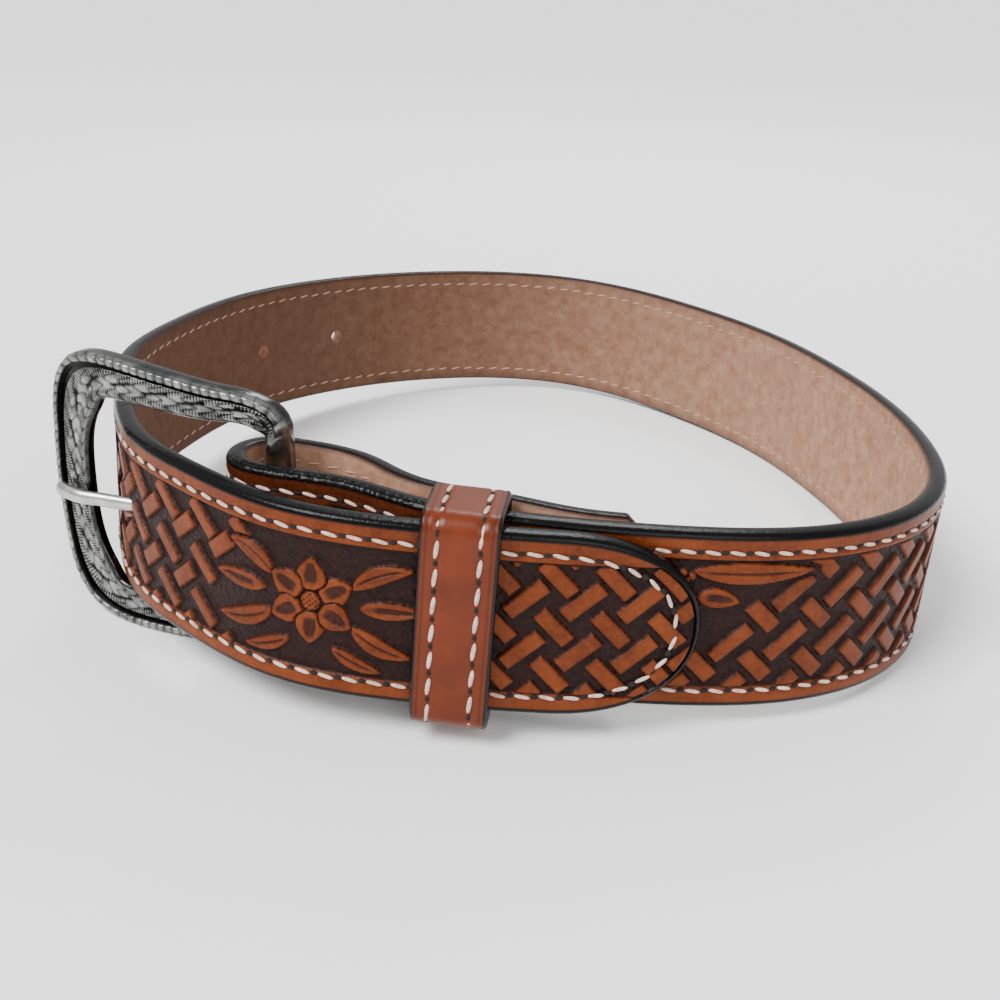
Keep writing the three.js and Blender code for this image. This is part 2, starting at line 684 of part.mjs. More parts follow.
function roundedRectangle(low, high, rise, corner) {
  const shape = new THREE.Shape();
  const quarter = Math.PI / 2;
  shape.absarc(high - corner, rise - corner, corner, 0, quarter, false);
  shape.absarc(low + corner, rise - corner, corner, quarter, 2 * quarter, false);
  shape.absarc(low + corner, corner - rise, corner, 2 * quarter, 3 * quarter, false);
  shape.absarc(high - corner, corner - rise, corner, 3 * quarter, 4 * quarter, false);
  shape.closePath();
  return shape;
}

// Pieces, laid out flat
const flat = new THREE.Group();
const strapPiece = pieceOf("strap", strapSolid(), LEATHER);
const framePiece = pieceOf("buckle_frame", frameSolid(), ANTIQUED_SILVER);
flat.add(
  strapPiece,
  framePiece,
  pieceOf("tongue", tongueSolid(), NICKEL),
  pieceOf("keeper", keeperSolid(), KEEPER_LEATHER),
);
["lower", "upper"].forEach((side, i) => {
  const piece = new THREE.Mesh(mergeVertices(rivetGeometry(0, 0)), NICKEL);
  piece.name = `tab_rivet_${side}`;
  piece.quaternion.setFromUnitVectors(Z_AXIS, new THREE.Vector3(rivetInward.x, rivetInward.y, 0));
  piece.position.set(rivetMiddle.x, rivetMiddle.y, rivetHeights[i]);
  flat.add(piece);
});

// Lean: the buckle's foot is lower than the strap's edge, so the belt turns until both touch the ground.
function lowestVertex(geometry) {
  const lowest = new THREE.Vector3(0, 0, Infinity);
  const vertex = new THREE.Vector3();
  for (let i = 0; i < geometry.attributes.position.count; i += 1) {
    vertex.fromBufferAttribute(geometry.attributes.position, i);
    if (vertex.z < lowest.z) lowest.copy(vertex);
  }
  return lowest;
}

const foot = lowestVertex(framePiece.geometry);
const restBearing = radians(REST_BEARING);
const restDirection = new THREE.Vector3(Math.cos(restBearing), Math.sin(restBearing), 0);
const farEdge = Math.max(
  ...line.map((p) => p.x * restDirection.x + p.y * restDirection.y + STRAP_THICKNESS / 2 - FACE_BEVEL),
);
const leanAngle = Math.atan2(-foot.z, farEdge - foot.dot(restDirection));
flat.quaternion.setFromAxisAngle(Z_AXIS.clone().cross(restDirection), leanAngle);

// The belt's origin is the middle of its box, on the ground.
const belt = new THREE.Group();
belt.add(flat);
belt.updateMatrixWorld(true);
const box = new THREE.Box3().setFromObject(belt, true);
const boxMiddle = box.getCenter(new THREE.Vector3());
flat.position.set(-boxMiddle.x, -boxMiddle.y, -box.min.z);

export default belt;
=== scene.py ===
"""Looks of the western tooled belt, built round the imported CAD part.

The strap, keeper, buckle frame and tongue are drawn finer than their CAD solids and stand for them. The
strap's tooling is real relief on its skin, and its stitches are a mesh of their own. Lengths are in
millimetres, in the belt's flat lay-out, until they are placed: there the waist's middle is the origin and the
strap's lower edge is at z = 0. The main sizes of that lay-out are the CAD source's.
"""

import json
import logging
import math
from dataclasses import dataclass
from enum import Enum
from typing import Callable, Optional, Sequence

import bpy
import numpy as np
from mathutils import Matrix, Quaternion, Vector

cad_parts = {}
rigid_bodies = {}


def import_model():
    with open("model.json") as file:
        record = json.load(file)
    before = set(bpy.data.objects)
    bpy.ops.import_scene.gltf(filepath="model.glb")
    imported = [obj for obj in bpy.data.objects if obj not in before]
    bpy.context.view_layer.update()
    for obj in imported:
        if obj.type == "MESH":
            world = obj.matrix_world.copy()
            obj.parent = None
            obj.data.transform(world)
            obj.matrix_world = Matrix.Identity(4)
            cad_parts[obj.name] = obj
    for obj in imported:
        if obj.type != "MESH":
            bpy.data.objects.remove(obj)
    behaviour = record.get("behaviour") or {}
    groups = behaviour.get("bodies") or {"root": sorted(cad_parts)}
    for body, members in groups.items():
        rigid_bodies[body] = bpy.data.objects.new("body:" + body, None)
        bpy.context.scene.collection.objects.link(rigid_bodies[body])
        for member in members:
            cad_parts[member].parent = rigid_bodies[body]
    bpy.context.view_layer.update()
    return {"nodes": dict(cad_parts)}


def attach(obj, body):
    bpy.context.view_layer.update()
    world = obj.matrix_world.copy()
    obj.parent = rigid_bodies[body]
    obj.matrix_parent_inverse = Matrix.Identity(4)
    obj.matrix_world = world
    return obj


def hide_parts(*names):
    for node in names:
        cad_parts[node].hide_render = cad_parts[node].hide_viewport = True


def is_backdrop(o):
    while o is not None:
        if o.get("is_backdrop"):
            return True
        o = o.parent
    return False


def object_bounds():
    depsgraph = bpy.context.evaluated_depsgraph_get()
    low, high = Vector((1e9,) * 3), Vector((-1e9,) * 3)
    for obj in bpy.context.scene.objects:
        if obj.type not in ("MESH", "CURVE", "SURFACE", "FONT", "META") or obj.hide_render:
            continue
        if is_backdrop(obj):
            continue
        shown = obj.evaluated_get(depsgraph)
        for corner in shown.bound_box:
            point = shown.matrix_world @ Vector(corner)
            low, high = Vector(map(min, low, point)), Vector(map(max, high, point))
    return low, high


log = logging.getLogger("belt")

MM = 0.001
Point = tuple[float, float]


# Sizes


@dataclass(frozen=True)
class Strap:
    """The leather strap's section and ends, in millimetres."""

    width: float = 31.75
    thickness: float = 3.6
    face_round: float = 1.1
    back_round: float = 0.7
    edge_paint: float = 1.15
    border_upper: float = 4.6
    border_lower: float = 3.75
    stitch_inset: float = 3.3
    stitch_nose_inset: float = 4.2
    nose_rim: float = 0.95
    tip_length: float = 24.0
    tip_power: float = 2.2
    hole_diameter: float = 3.4
    used_hole_from_tip: float = 111.5
    holes_from_tip: tuple[float, ...] = (222.4, 249.0)
    slot_half_height: float = 2.15
    rivet_bearing: float = 279.5
    rivet_spacing: float = 15.0
    rivet_seat_radius: float = 3.8
    stitch_pitch: float = 3.95
    stitch_length: float = 2.55

    @property
    def half(self) -> float:
        """Half the strap's width."""
        return self.width / 2

    @property
    def face(self) -> float:
        """How far the tooled face stands out from the middle of the leather."""
        return self.thickness / 2


@dataclass(frozen=True)
class Loop:
    """The strap's run in plan: bearings in degrees and reaches as shares of the waist's radius."""

    radius: float = 85.0
    run: tuple[Point, ...] = (
        (236, 1.034), (242, 1.019), (248, 0.989), (254, 0.991), (260, 1.018), (268, 1.031),
        (277, 1.05), (287, 1.086), (298, 1.1355), (310, 1.161), (322, 1.13), (336, 1.04),
        (352, 0.9525), (372, 0.895), (395, 0.9075), (418, 0.9775), (441, 1.085), (464, 1.05),
        (487, 0.9875), (510, 0.955), (533, 0.947), (553, 0.99), (566, 1.011), (576, 1.05),
        (586, 1.0925), (596, 1.1125), (608, 1.14), (622, 1.1175), (636, 1.11), (649, 1.13),
    )
    fold_bearing: float = 240.4
    fold_radius: float = 7.0
    tab_length: float = 65.8
    tab_contact: float = 0.35
    tab_gap: tuple[Point, ...] = (
        (0, 1), (0.1, 1), (0.21, 0.79), (0.3, 0.47), (0.41, 0.37),
        (0.62, 0.388), (0.76, 0.19), (0.86, 0.05), (1, 0),
    )


@dataclass(frozen=True)
class Frame:
    """The buckle's frame, tongue and how they sit, in millimetres and degrees."""

    length: float = 51.6
    height: float = 53.8
    thickness: float = 4.2
    rise: float = 2.2
    lean: float = 4.0
    bow: float = 4.0
    bearing: float = 157.4
    far_bar: float = 9.8
    heel_bar: float = 4.4
    eye_play: float = 0.75
    heel_slack: float = 1.6
    rail_width: float = 1.5
    rail_height: float = 0.5
    rows: tuple[tuple[float, float, float], ...] = (
        (0.045, 0.0, 0.45), (0.045, 0.3, 0.45), (0.046, 0.55, 0.46), (0.073, 0.735, 0.57),
        (0.155, 0.804, 0.6), (0.27, 0.81, 0.66), (0.388, 0.822, 0.73), (0.504, 0.836, 0.77),
        (0.62, 0.843, 0.82), (0.73, 0.824, 0.91), (0.807, 0.735, 1.15), (0.863, 0.565, 1.13),
        (0.893, 0.32, 1.0), (0.9035, 0.0, 1.0),
    )
    tongue_width: float = 2.7
    tongue_thickness: float = 2.2
    tongue_overhang: float = 2.0
    tongue_rise: float = 0.3
    tongue_bend: float = 2.4
    fit: float = 0.3


@dataclass(frozen=True)
class Keeper:
    """The leather band round the tip end and the strap, in millimetres and degrees."""

    bearing: float = 625.6
    turn: float = -4.0
    width: float = 12.6
    thickness: float = 2.0
    slack: float = 0.9
    corner: float = 3.4
    stitch_inset: float = 2.9
    fit: float = 0.3


@dataclass(frozen=True)
class Stand:
    """The rigid placing of the flat lay-out in the standing belt's frame."""

    place: tuple[float, float, float] = (0.02078, 2.22746, 4.11003)
    turn: tuple[float, float, float, float] = (0.99963849, -0.00830841, 0.02557066, 0.0)  # w, x, y, z

    def matrix(self) -> Matrix:
        """The placing as a matrix, in metres."""
        return Matrix.Translation(Vector(self.place) * MM) @ Quaternion(self.turn).to_matrix().to_4x4()

    def points(self, flat: np.ndarray) -> np.ndarray:
        """Places points of the flat lay-out.

        Args:
            flat: an array of points in millimetres, its last axis x, y, z.

        Returns:
            The same points in the standing frame, in metres.
        """
        turn = np.array(Quaternion(self.turn).to_matrix())
        return (flat @ turn.T + np.array(self.place)) * MM


@dataclass(frozen=True)
class Shot:
    """The photo's viewpoint, fitted to the belt's flat lay-out."""

    eye: tuple[float, float, float] = (-2.0, -270.0, 108.54)
    pitch: float = 0.38927
    roll: float = 0.081432
    lens: float = 45.0
    sensor: float = 36.0


# Plan geometry


def spline(knots: Sequence[float], values: Sequence[float]) -> Callable[[np.ndarray], np.ndarray]:
    """A natural cubic spline.

    Args:
        knots: where the values lie, rising.
        values: the value at each knot.

    Returns:
        A function that gives the spline's value at each place of an array.
    """
    x, y = np.asarray(knots, float), np.asarray(values, float)
    n = len(x)
    step = np.diff(x)
    system, right = np.eye(n), np.zeros(n)
    for i in range(1, n - 1):
        system[i, i - 1], system[i, i], system[i, i + 1] = step[i - 1], 2 * (step[i - 1] + step[i]), step[i]
        right[i] = 6 * ((y[i + 1] - y[i]) / step[i] - (y[i] - y[i - 1]) / step[i - 1])
    bend = np.linalg.solve(system, right)

    def at(place: np.ndarray) -> np.ndarray:
        p = np.asarray(place, float)
        i = np.clip(np.searchsorted(x, p) - 1, 0, n - 2)
        h = step[i]
        a = (x[i + 1] - p) / h
        b = 1 - a
        return a * y[i] + b * y[i + 1] + ((a**3 - a) * bend[i] + (b**3 - b) * bend[i + 1]) * h * h / 6

    return at


def left_of(direction: np.ndarray) -> np.ndarray:
    """A direction in plan turned a quarter to the left."""
    return np.stack([-direction[..., 1], direction[..., 0]], -1)


class StrapLine:
    """The middle line of the leather in plan, from the tab's end, round the fold and the loop, to the tip."""

    FINE = 0.04  # degrees between points

    def __init__(self, strap: Strap, loop: Loop) -> None:
        self.strap, self.loop = strap, loop
        bearings, reaches = zip(*loop.run)
        self._reach = spline(bearings, np.array(reaches) * loop.radius)
        gap = spline(*zip(*loop.tab_gap))
        start, end = loop.fold_bearing, bearings[-1]
        run_bearings = np.arange(start, end + self.FINE / 2, self.FINE)
        run = self.run_point(run_bearings)
        done = np.concatenate([[0], np.cumsum(np.linalg.norm(np.diff(run, axis=0), axis=1))])
        tab_end = np.interp(loop.tab_length, done, run_bearings)
        tab_bearings = np.arange(tab_end, start, -self.FINE)
        width = 2 * (loop.fold_radius - strap.face)
        share = gap((tab_bearings - start) / (tab_end - start))
        apart = strap.thickness + loop.tab_contact + (width - loop.tab_contact) * share
        tab = self.run_point(tab_bearings) + left_of(self.run_tangent(tab_bearings)) * apart[:, None]
        inward = left_of(self.run_tangent(start))
        self.fold_centre = run[0] + inward * loop.fold_radius
        self.fold_nose = left_of(inward)
        turns = math.atan2(inward[1], inward[0]) + np.linspace(0, math.pi, 240)[:-1]
        arc = self.fold_centre + loop.fold_radius * np.stack([np.cos(turns), np.sin(turns)], -1)
        self.points = np.concatenate([tab, arc, run])
        self.lengths = np.concatenate(
            [[0], np.cumsum(np.linalg.norm(np.diff(self.points, axis=0), axis=1))]
        )
        self.total = float(self.lengths[-1])
        self.fold_begin = float(self.lengths[len(tab)])
        self.fold_end = float(self.lengths[len(tab) + len(arc)])
        tangent = np.gradient(self.points, axis=0)
        kernel = np.hanning(31) / np.hanning(31).sum()
        padded = np.pad(tangent, ((15, 15), (0, 0)), mode="edge")
        smooth = np.stack([np.convolve(padded[:, k], kernel, "valid") for k in range(2)], -1)
        self.tangents = smooth / np.linalg.norm(smooth, axis=1, keepdims=True)

    def run_point(self, bearing: np.ndarray) -> np.ndarray:
        """The middle of the leather at bearings of the run."""
        turn = np.radians(bearing)
        return self._reach(bearing)[..., None] * np.stack([np.cos(turn), np.sin(turn)], -1)

    def run_tangent(self, bearing: np.ndarray) -> np.ndarray:
        """The direction of travel at bearings of the run."""
        ahead = self.run_point(np.asarray(bearing) + 0.05) - self.run_point(np.asarray(bearing) - 0.05)
        return ahead / np.linalg.norm(ahead, axis=-1, keepdims=True)

    def tab_behind(self, bearing: float) -> float:
        """The length at which the tab lies behind a bearing of the run."""
        on_tab = self.lengths < self.fold_begin
        apart = np.linalg.norm(self.points[on_tab] - self.run_point(np.array(bearing)), axis=1)
        return float(self.lengths[on_tab][apart.argmin()])

    def outward(self, length: np.ndarray) -> np.ndarray:
        """The way the tooled face looks, at lengths from the tab's end."""
        tangent = np.stack([np.interp(length, self.lengths, self.tangents[:, k]) for k in range(2)], -1)
        return -left_of(tangent / np.linalg.norm(tangent, axis=-1, keepdims=True))

    def place(self, length: np.ndarray, up: np.ndarray, out: np.ndarray) -> np.ndarray:
        """Places of the strap in the flat lay-out.

        Args:
            length: along the strap from the tab's end.
            up: above the strap's middle.
            out: from the middle of the leather towards the tooled side.

        Returns:
            The points, x, y and z in millimetres.
        """
        length, up, out = np.broadcast_arrays(length, up, out)
        middle = np.stack([np.interp(length, self.lengths, self.points[:, k]) for k in range(2)], -1)
        plan = middle + self.outward(length) * out[..., None]
        return np.concatenate([plan, (self.strap.half + up)[..., None]], -1)

    def half_width(self, length: np.ndarray) -> np.ndarray:
        """Half the strap's width at lengths, less where the tip rounds off."""
        into = np.clip((length - (self.total - self.strap.tip_length)) / self.strap.tip_length, 0, 1)
        power = self.strap.tip_power
        return self.strap.half * (1 - into**power) ** (1 / power)


# Tooling


def smooth_step(low: float, high: float, value: np.ndarray) -> np.ndarray:
    """Rises from 0 at low to 1 at high without a corner."""
    x = np.clip((value - low) / (high - low), 0, 1)
    return x * x * (3 - 2 * x)


@dataclass(frozen=True)
class Bars:
    """One family of slanting bars of a basket weave, in millimetres and degrees."""

    length: float
    width: float
    angle: float
    start: Point  # one bar's middle: along the strap, and above its middle
    pitch: Point


@dataclass(frozen=True)
class Weave:
    """A stretch of basket weave. Its ends are rows of a height and the place past which no bar is centred."""

    first: tuple[Point, ...]
    last: tuple[Point, ...]
    bars: tuple[Bars, ...]

    def inside(self, along: np.ndarray, up: np.ndarray) -> np.ndarray:
        """How far each place lies inside the nearest bar, below 0 outside."""
        best = np.full(along.shape, -9.0)
        for family in self.bars:
            turn = math.radians(family.angle)
            for shift_a in (0, 1):
                for shift_u in (0, 1):
                    row = np.floor((up - family.start[1]) / family.pitch[1]) + shift_u
                    column = np.floor((along - family.start[0]) / family.pitch[0]) + shift_a
                    middle_a = family.start[0] + column * family.pitch[0]
                    middle_u = family.start[1] + row * family.pitch[1]
                    a, u = along - middle_a, up - middle_u
                    x = a * math.cos(turn) + u * math.sin(turn)
                    y = u * math.cos(turn) - a * math.sin(turn)
                    depth = np.minimum(family.length / 2 - np.abs(x), family.width / 2 - np.abs(y))
                    kept = (middle_a >= np.interp(middle_u, *zip(*self.first))) \
                        & (middle_a <= np.interp(middle_u, *zip(*self.last)))
                    best = np.maximum(best, np.where(kept, depth, -9.0))
        return best


@dataclass(frozen=True)
class Leaf:
    """A carved leaf from its base to its tip, with a vein or an inner bowl."""

    base: Point
    tip: Point
    width: float
    bow: float = 0.0  # how far its middle bends to the left, as a share of its length
    bowl: bool = False

    def inside(self, x: np.ndarray, y: np.ndarray) -> tuple[np.ndarray, np.ndarray]:
        """Signed depth inside the leaf's outline, and how strongly its vein or bowl cuts in."""
        dx, dy = self.tip[0] - self.base[0], self.tip[1] - self.base[1]
        size = math.hypot(dx, dy)
        a = ((x - self.base[0]) * dx + (y - self.base[1]) * dy) / size**2
        b = ((y - self.base[1]) * dx - (x - self.base[0]) * dy) / size
        t = np.clip(a, 0, 1)
        b = b - self.bow * size * 4 * t * (1 - t)
        half = self.width / 2 * np.sin(math.pi * t**0.8) ** 0.75
        beyond = np.maximum(-a, a - 1) * size
        depth = np.where(beyond > 0, -np.hypot(beyond, b), half - np.abs(b))
        if self.bowl:
            cut = smooth_step(0.05, 0.4, half * 0.5 - np.abs(b)) * smooth_step(0.12, 0.3, t) \
                * smooth_step(0.9, 0.75, t)
        else:
            cut = smooth_step(0.32, 0.05, np.abs(b)) * smooth_step(0.02, 0.2, t) * smooth_step(0.95, 0.7, t)
        return depth, cut * (beyond <= 0)


@dataclass(frozen=True)
class Figure:
    """A generic tooled flower between leaves. x runs to the tip from its origin, y is up."""

    from_tip: float = 62.0
    middle: Point = (0.0, 0.3)
    petals: int = 6
    petal_start: float = 1.9
    petal_end: float = 7.6
    petal_width: float = 5.0
    heart: float = 1.7
    leaves: tuple[Leaf, ...] = (
        Leaf((-8.0, 0.6), (-18.4, 0.9), 3.2, 0.0, True),
        Leaf((-6.4, 3.6), (-15.4, 7.6), 3.3, -0.09),
        Leaf((-6.6, -2.8), (-18.0, -6.8), 3.5, 0.09),
        Leaf((-3.6, -7.2), (-12.2, -10.6), 2.6, 0.06),
        Leaf((8.0, 0.4), (18.6, 0.6), 3.2, 0.0, True),
        Leaf((6.6, 3.6), (16.4, 7.8), 3.3, 0.09),
        Leaf((6.6, -3.2), (16.8, -7.6), 3.3, -0.09),
        Leaf((3.6, -7.4), (12.0, -10.8), 2.6, -0.06),
    )

    def carve(self, x: np.ndarray, y: np.ndarray) -> tuple[np.ndarray, np.ndarray, np.ndarray]:
        """The figure's raised mask, how deep its lines cut and the ground cleared round it, all 0 to 1."""
        raised, cut, clear = np.zeros(x.shape), np.zeros(x.shape), np.zeros(x.shape)
        petals = []
        for turn in np.arange(self.petals) * 2 * math.pi / self.petals + math.pi / 6:
            ends = [(self.middle[0] + reach * math.cos(turn), self.middle[1] + reach * math.sin(turn))
                    for reach in (self.petal_start, self.petal_end)]
            petals.append(Leaf(*ends, self.petal_width, 0.0, True))
        for leaf in (*self.leaves, *petals):
            depth, line = leaf.inside(x, y)
            clear = np.maximum(clear, smooth_step(-0.8, -0.3, depth))
            groove = smooth_step(-0.42, -0.2, depth) * smooth_step(0.06, -0.08, depth)
            raised = np.maximum(raised * (1 - groove), smooth_step(-0.1, 0.22, depth))
            cut = np.where(depth > 0, line, cut)
        depth = self.heart - np.hypot(x - self.middle[0], y - self.middle[1])
        ring = smooth_step(-0.5, -0.2, depth) * smooth_step(0.06, -0.08, depth)
        raised = np.maximum(raised * (1 - ring), smooth_step(-0.1, 0.25, depth))
        grid = np.cos(x * 2 * math.pi / 0.95) * np.cos(y * 2 * math.pi / 0.95)
        return raised, np.where(depth > 0, smooth_step(0.1, 0.6, -grid), cut), clear


@dataclass(frozen=True)
class Tooling:
    """All that is pressed and carved into the strap's face, and the painted shade on the tab and near the
    fold. Lengths run from the fold or the tip.
    """

    ground: float = 0.72
    joint_from_tip: float = 126.0
    field_start: Point = (12.0, 16.0)
    # painted shade on the tab and fold: full up to the second length past the fold, gone past the first
    fold_shade: Point = (52.0, 44.0)
    figure_reach: Point = (-21.0, 19.0)
    sprig_reach: Point = (58.0, 98.0)
    sprig_side: tuple[Point, ...] = (
        (-17.0, 66.0), (-12.0, 71.0), (-8.2, 73.5), (-2.8, 81.5), (1.8, 86.5), (5.3, 91.0), (10.3, 96.5),
    )
    figure_side: tuple[Point, ...] = (
        (-17.0, 76.0), (-13.0, 78.0), (-8.3, 83.5), (-4.3, 88.5),
        (0.2, 83.3), (5.0, 78.3), (8.4, 73.2), (14.0, 68.0),
    )
    figure: Figure = Figure()
    sprig: tuple[Leaf, ...] = (
        Leaf((74.6, 9.1), (95.4, 9.4), 4.0, -0.02),
        Leaf((75.8, 4.6), (83.0, 3.8), 3.7, 0.03, True),
        Leaf((72.6, 5.0), (67.6, 0.2), 3.2, 0.06, True),
        Leaf((71.6, 9.0), (60.5, 9.6), 3.6, 0.05),
        Leaf((71.2, 6.4), (62.4, 4.0), 2.9, -0.05),
        Leaf((74.6, 3.2), (75.8, -2.6), 2.2, 0.05),
        Leaf((70.6, 0.2), (66.0, -6.0), 2.8, 0.06, True),
    )
    seeds: tuple[Point, ...] = ((73.6, 7.4), (72.2, 6.9), (73.2, 8.8), (74.6, 8.2), (73.9, 6.0))

    def weaves(self, line: StrapLine) -> tuple[Weave, ...]:
        """The three stretches of basket weave, with lengths from the tab's end."""
        fold, tip = line.fold_end, line.total
        joint = tip - self.joint_from_tip
        return (
            Weave(tuple((up, fold + at) for up, at in self.sprig_side), ((0, joint),), (
                Bars(8.2, 2.6, 44, (fold + 92.0, 5.4), (9.45, 9.1)),
                Bars(6.2, 3.0, -44, (fold + 96.7, 1.15), (9.45, 9.15)),
            )),
            Weave(((0, joint),), tuple((up, tip - at) for up, at in self.figure_side), (
                Bars(6.1, 3.2, 40, (tip - 99.7, 5.2), (10.15, 9.3)),
                Bars(7.6, 2.4, -42, (tip - 94.4, 0.0), (10.1, 8.3)),
            )),
            Weave(((0, tip - 43.0),), ((0, tip + 2.0),), (
                Bars(7.9, 2.85, 43, (tip - 28.25, 4.8), (9.0, 9.0)),
                Bars(7.2, 2.8, -45, (tip - 23.5, 0.1), (9.0, 8.5)),
            )),
        )


class TooledFace:
    """The relief and the colours of the strap's face."""

    def __init__(self, line: StrapLine, tooling: Tooling) -> None:
        self.line, self.tooling, self.strap = line, tooling, line.strap
        self.weaves = tooling.weaves(line)
        power = self.strap.tip_power
        turn = np.linspace(-math.pi / 2, math.pi / 2, 121)
        self._tip_outline = np.stack([
            line.total - self.strap.tip_length + self.strap.tip_length * np.abs(np.cos(turn)) ** (2 / power),
            self.strap.half * np.sign(np.sin(turn)) * np.abs(np.sin(turn)) ** (2 / power),
        ], -1)

    def from_edge(self, along: np.ndarray, up: np.ndarray) -> np.ndarray:
        """The distance from the strap's outline, on the unrolled face."""
        away = self.strap.half - np.abs(up)
        near_tip = along > self.line.total - self.strap.tip_length - 8
        if near_tip.any():
            a, u = along[near_tip], up[near_tip]
            closest = np.full(a.shape, 9e9)
            for (x0, y0), (x1, y1) in zip(self._tip_outline[:-1], self._tip_outline[1:]):
                dx, dy = x1 - x0, y1 - y0
                t = np.clip(((a - x0) * dx + (u - y0) * dy) / (dx * dx + dy * dy), 0, 1)
                closest = np.minimum(closest, np.hypot(a - x0 - t * dx, u - y0 - t * dy))
            away[near_tip] = np.minimum(away[near_tip], closest)
        return away

    def carve(self, along: np.ndarray, up: np.ndarray) -> tuple[np.ndarray, np.ndarray, np.ndarray]:
        """The face at places of the unrolled strap.

        Args:
            along: from the tab's end.
            up: above the strap's middle.

        Returns:
            How deep the face lies below plain leather, how much of it is darkened by dye and painted shade,
            and how far the edge is.
        """
        strap, tooling, line = self.strap, self.tooling, self.line
        edge = self.from_edge(along, up)
        raised, cut, rim = np.zeros(along.shape), np.zeros(along.shape), np.zeros(along.shape)
        for weave in self.weaves:
            inside = weave.inside(along, up)
            # rim: the bars' edges, later darkened as painted shade on their bevels
            rim = np.where(inside > -0.2, np.maximum(rim, smooth_step(0.75, 0.0, inside)), rim)
            raised = np.maximum(raised, smooth_step(-0.12, 0.2, inside))
        from_fold = along - line.fold_end
        x = along - (line.total - tooling.figure.from_tip)
        in_figure = (x > tooling.figure_reach[0]) & (x < tooling.figure_reach[1])
        if in_figure.any():
            mask, lines, clear = tooling.figure.carve(x[in_figure], up[in_figure])
            raised[in_figure] = np.maximum(mask, raised[in_figure] * (1 - clear))
            cut[in_figure] = lines * mask
        in_sprig = (from_fold > tooling.sprig_reach[0]) & (from_fold < tooling.sprig_reach[1])
        if in_sprig.any():
            a, u = from_fold[in_sprig], up[in_sprig]
            mask, lines = np.zeros(a.shape), np.zeros(a.shape)
            for leaf in tooling.sprig:
                depth, vein = leaf.inside(a, u)
                raised[in_sprig] = raised[in_sprig] * (1 - smooth_step(-1.2, -0.2, depth))
                mask = np.maximum(mask, smooth_step(-0.12, 0.3, depth))
                lines = np.where(depth > 0, np.maximum(lines, vein), lines)
            for sa, su in tooling.seeds:
                mask = np.maximum(mask, smooth_step(0.75, 0.45, np.hypot(a - sa, u - su)))
            raised[in_sprig] = np.maximum(raised[in_sprig], mask)
            cut[in_sprig] = lines * mask
        border = np.where(up > 0, strap.border_upper, strap.border_lower)
        inside = np.minimum(strap.half - np.abs(up) - border, edge - strap.nose_rim)
        field = smooth_step(-0.12, 0.22, inside) * smooth_step(*tooling.field_start, from_fold)
        keep = smooth_step(0.05, 0.4, inside)
        ground = field * (1 - raised * keep)
        depth = tooling.ground * ground + 0.3 * cut * field
        # rim darkens the bars near their edges: painted shade on their bevels
        dye_and_shade = np.maximum(smooth_step(0.12, 0.6, ground), np.maximum(cut * 0.85, rim * 0.3) * field)
        # painted shade: the tab, the fold and the face just past it are darkened where they lie in shadow
        dye_and_shade = np.maximum(dye_and_shade, 0.55 * smooth_step(*tooling.fold_shade, from_fold))
        return depth, dye_and_shade, edge


# Meshes


def mesh_object(name: str, points: np.ndarray, faces: Sequence[Sequence[int]],
                paint: Optional[np.ndarray] = None, flat: int = 0) -> bpy.types.Object:
    """A smooth mesh in the standing frame.

    Args:
        name: the object's name.
        points: its vertices in the flat lay-out, in millimetres.
        faces: its faces, as rows of vertex numbers.
        paint: one row of four shares for each vertex, read by the materials.
        flat: how many of the last faces are shaded flat.

    Returns:
        The new object, linked to the scene.
    """
    mesh = bpy.data.meshes.new(name)
    mesh.from_pydata(Stand().points(points.reshape(-1, 3)).tolist(), [], [list(f) for f in faces])
    mesh.polygons.foreach_set("use_smooth", np.arange(len(mesh.polygons)) < len(mesh.polygons) - flat)
    if paint is not None:
        layer = mesh.attributes.new("paint", "FLOAT_COLOR", "POINT")
        layer.data.foreach_set("color", paint.reshape(-1).astype(np.float32))
    mesh.update()
    made = bpy.data.objects.new(name, mesh)
    bpy.context.scene.collection.objects.link(made)
    return made


def grid_faces(rows: int, columns: int, close_rows: bool, close_columns: bool) -> list[list[int]]:
    """Quads between the points of a grid, with either way joined round on itself."""
    r = np.arange(rows if close_rows else rows - 1)
    c = np.arange(columns if close_columns else columns - 1)
    rr, cc = (g.ravel() for g in np.meshgrid(r, c, indexing="ij"))
    r1, c1 = (rr + 1) % rows, (cc + 1) % columns
    quads = np.stack([rr * columns + cc, r1 * columns + cc, r1 * columns + c1, rr * columns + c1], -1)
    return quads.tolist()


